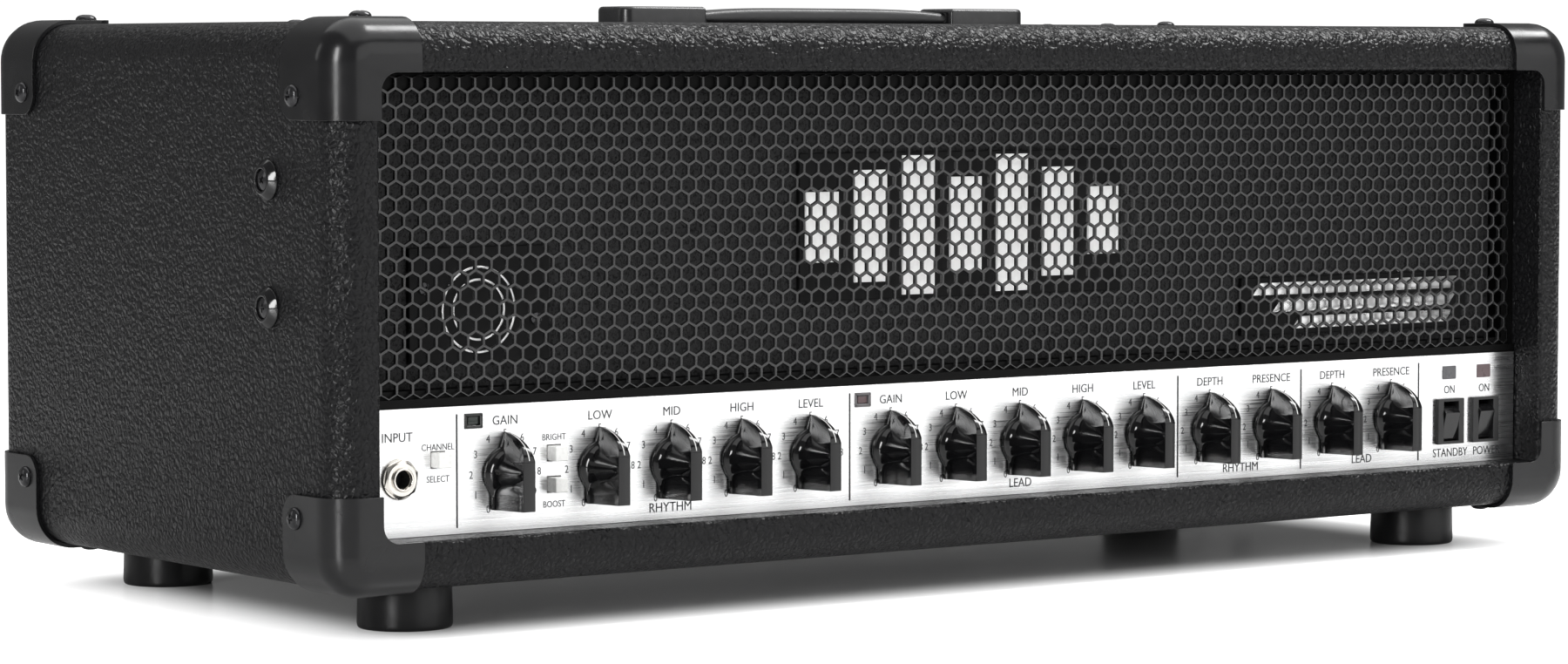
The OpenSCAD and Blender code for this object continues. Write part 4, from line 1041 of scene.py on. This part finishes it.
for x in (-270.7, -76.3, 105.7, 179.3, 252.6):  # divider lines
    print_front.add(slab(rect(0.7, 45), [(0, -INK), (0, INK)]), place(x, FACE, 64, "front"))
piece("panel_print", print_front.mesh("panel_print", [M["ink"]], 30), "cabinet",
      "panel_aluminium")

# ---------------- inside and rear

for node, material, width in (
        ("top_board", "wood", 0), ("bottom_board", "wood", 0), ("left_side_board", "wood", 0),
        ("right_side_board", "wood", 0), ("chassis", "zinc", 0.3), ("circuit_board", "board", 0.2),
        ("valve_sockets", "ceramic", 0.4), ("rear_panel", "guard", 0.3),
        ("mains_panel", "guard", 0.3), ("rear_guard", "guard", 0.35),
        ("rear_jacks", "moulded", 0.4), ("mains_inlet_and_fuses", "moulded", 0.45),
        ("impedance_slider", "cap", 0.4), ("power_transformer", "laminated", 0.8),
        ("output_transformer", "laminated", 0.8),
        ("filter_capacitors", "sleeve", 0.5), ("handle_slider_left", "strap", 0),
        ("handle_slider_right", "strap", 0)):
    if width:
        refine(node, M[material], width, 2)
    else:
        obj = frame["nodes"][node]
        obj.data.materials.clear()
        obj.data.materials.append(M[material])


# The mica discs use the emblem's white, so they glow a little too: painted glow
VALVE_MATS = [M["glass"], M["moulded"], M["anode"], M["white"], M["getter"]]
VALVE_SEAT = 7  # height of a valve's base above the end of its key


def valves(node, profile, base_r, base_h, plate_w, plate_d, plate_z0, plate_z1, getter_r):
    """Glass envelope, base, two plates, mica discs, rods and getter at each valve of a node."""
    s = Shape().add(lathe([(0, base_h + 0.1)] + profile, 40))
    base = [(0, 0, 0), (base_r, 0, 0.8), (base_r, base_h, 0.8), (0, base_h, 0)]
    s.add(lathe(rounded(base, 3, False), 40), None, 1)
    for side in (-1, 1):
        s.add(block(plate_w / 2 - 0.8, plate_d, plate_z1 - plate_z0, 0.8),
              place(side * plate_w / 4, 0, plate_z0), 2)
    for z in (plate_z0 - 1.2, plate_z1 + 0.6):
        s.add(lathe([(0, 0), (plate_w * 0.62, 0), (plate_w * 0.62, 0.6), (0, 0.6)], 32),
              place(z=z), 3)
    rod = plate_z0 - base_h + 1
    for side in (-1, 1):
        s.add(lathe([(0, 0), (0.6, 0), (0.6, rod), (0, rod)], 10),
              place(side * plate_w * 0.3, 0, base_h - 0.5), 4)
    s.add(lathe([(getter_r * 0.55, 0), (getter_r * 0.62, 0.5), (getter_r * 0.5, 0.7)], 24, True),
          place(z=plate_z1 + 2.4), 4)
    shape = Shape()
    for lo, hi in islands(node):
        shape.add((s.verts, s.faces),
                  place((lo.x + hi.x) / 2, (lo.y + hi.y) / 2, lo.z + VALVE_SEAT))
        shape.mats[-len(s.mats):] = s.mats
    piece(node + "_made", shape.mesh(node, VALVE_MATS, 40), "cabinet", "valve_glass", node)


valves("power_valves", [(16.2, 14), (17.2, 16), (18.4, 21), (18.8, 30), (18.8, 51), (17.8, 63),
                        (15, 72), (11, 77), (5, 79.5), (0, 80)], 16.5, 12, 20, 15, 24, 58, 14)
valves("preamp_valves", [(9.4, 0.6), (10.3, 2.2), (10.4, 33), (9.6, 38), (6, 43), (2.4, 45),
                         (1.1, 48.4), (0, 49)], 9.3, 0.5, 12, 9, 6, 31, 8)

rear_print = Shape()
rear_boxes = sorted(islands("rear_jacks"), key=lambda b: b[0].x)
jack_centres = sorted({round((lo.x + hi.x) / 2, 1) for lo, hi in rear_boxes if hi.x - lo.x > 16})
for text, x, z, height in (
        *((name, x, 80.5, 2.6)
          for name, x in zip(("LOOP RETURN", "LOOP SEND", "SPEAKER", "SPEAKER"), jack_centres)),
        ("IMPEDANCE", middle("impedance_slider").x, 74, 2.6),
        ("4", -146, 69, 2.4), ("8", -150, 69, 2.4), ("16", -154, 69, 2.4),
        ("MAINS", inlet_x, 79.5, 3), ("FUSE", inlet_x - 46, 83.5, 2.6)):
    word(rear_print, text, x, z, height, "back", REAR)
piece("rear_print", rear_print.mesh("rear_print", [M["rear_ink"]], 30), "cabinet", "guard_black")

# ---------------- floor, light and world

REACH = 2.4  # half the floor's side, in metres
PAINTED_SHADOW_HALF = (0.27, 0.098, 0)  # half sizes of the rectangle under the box that doesn't glow, where the painted shadow lies
GLOW_FADE = 0.075  # distance over which the glow reaches its full strength, the painted shadow's soft edge
sheet = bpy.data.meshes.new("floor")
sheet.from_pydata([(-REACH, -REACH, 0), (REACH, -REACH, 0), (REACH, REACH, 0), (-REACH, REACH, 0)],
                  [], [(0, 1, 2, 3)])
floor_surface = Surface("floor", (0.93, 0.93, 0.93), 0.2, specular=0.4)
floor_surface.gloss(3, 0.03)
floor_surface.set("Emission Color", (1, 1, 1, 1))
away = floor_surface.coord  # becomes the distance outside the painted shadow's rectangle
for operation, value in (("ABSOLUTE", None), ("SUBTRACT", PAINTED_SHADOW_HALF),
                         ("MAXIMUM", (0, 0, 0)), ("LENGTH", None)):
    step = floor_surface.new("ShaderNodeVectorMath", operation=operation)
    floor_surface.link(away, step.inputs[0])
    if value:
        step.inputs[1].default_value = value
    away = step.outputs["Value" if operation == "LENGTH" else "Vector"]
# Painted shadow: to the camera the floor glows white except in the rectangle under the box, and the
# glow fades in round it
glow = floor_surface.new("ShaderNodeMapRange", interpolation_type="SMOOTHSTEP")
floor_surface.link(away, glow.inputs["Value"])
glow.inputs["From Max"].default_value = GLOW_FADE
direct = floor_surface.new("ShaderNodeLightPath").outputs["Is Camera Ray"]
floor_surface.link(floor_surface.math("MULTIPLY", glow.outputs["Result"], direct),
                   floor_surface.shader.inputs["Emission Strength"])
sheet.materials.append(floor_surface.mat)
floor = bpy.data.objects.new("floor", sheet)
scene.collection.objects.link(floor)

world = bpy.data.worlds.new("studio")
scene.world = world
world.use_nodes = True
nodes, links = world.node_tree.nodes, world.node_tree.links
ambient, backdrop = nodes["Background"], nodes.new("ShaderNodeBackground")
for node, strength in ((ambient, 0.2), (backdrop, 1.1)):
    node.inputs["Color"].default_value = (1, 1, 1, 1)
    node.inputs["Strength"].default_value = strength
path, mix = nodes.new("ShaderNodeLightPath"), nodes.new("ShaderNodeMixShader")
links.new(path.outputs["Is Camera Ray"], mix.inputs["Fac"])
links.new(ambient.outputs[0], mix.inputs[1])
links.new(backdrop.outputs[0], mix.inputs[2])
links.new(mix.outputs[0], nodes["World Output"].inputs["Surface"])


def softbox(name, at, target, width, height, radiance):
    """Rectangular light whose face has the given brightness."""
    data = bpy.data.lights.new(name, "AREA")
    data.shape, data.size, data.size_y = "RECTANGLE", width, height
    data.energy = math.pi * width * height * radiance
    lamp = bpy.data.objects.new(name, data)
    scene.collection.objects.link(lamp)
    lamp.location = at
    lamp.rotation_euler = (Vector(target) - Vector(at)).to_track_quat("-Z", "Y").to_euler()
    lamp.visible_camera = False


softbox("overhead", (0.75, 0.2, 2.6), (0.75, 0.2, 0), 3.9, 5.0, 1.4)
softbox("top_strip", (1.7, -0.3, 2.4), (0, -0.13, 0.24), 0.8, 1.5, 17.0)
softbox("front", (1.6, -3.6, 1.3), (0.1, 0, 0.1), 4.4, 2.4, 1.5)
softbox("strip_left", (-2.7, -1.35, 1.0), (-0.3, -0.1, 0.12), 0.5, 1.7, 20.0)
softbox("rim_left", (-2.2, 1.6, 1.0), (-0.3, 0, 0.1), 0.5, 1.2, 1.6)

scene.view_settings.view_transform = "Standard"
scene.view_settings.look = "None"
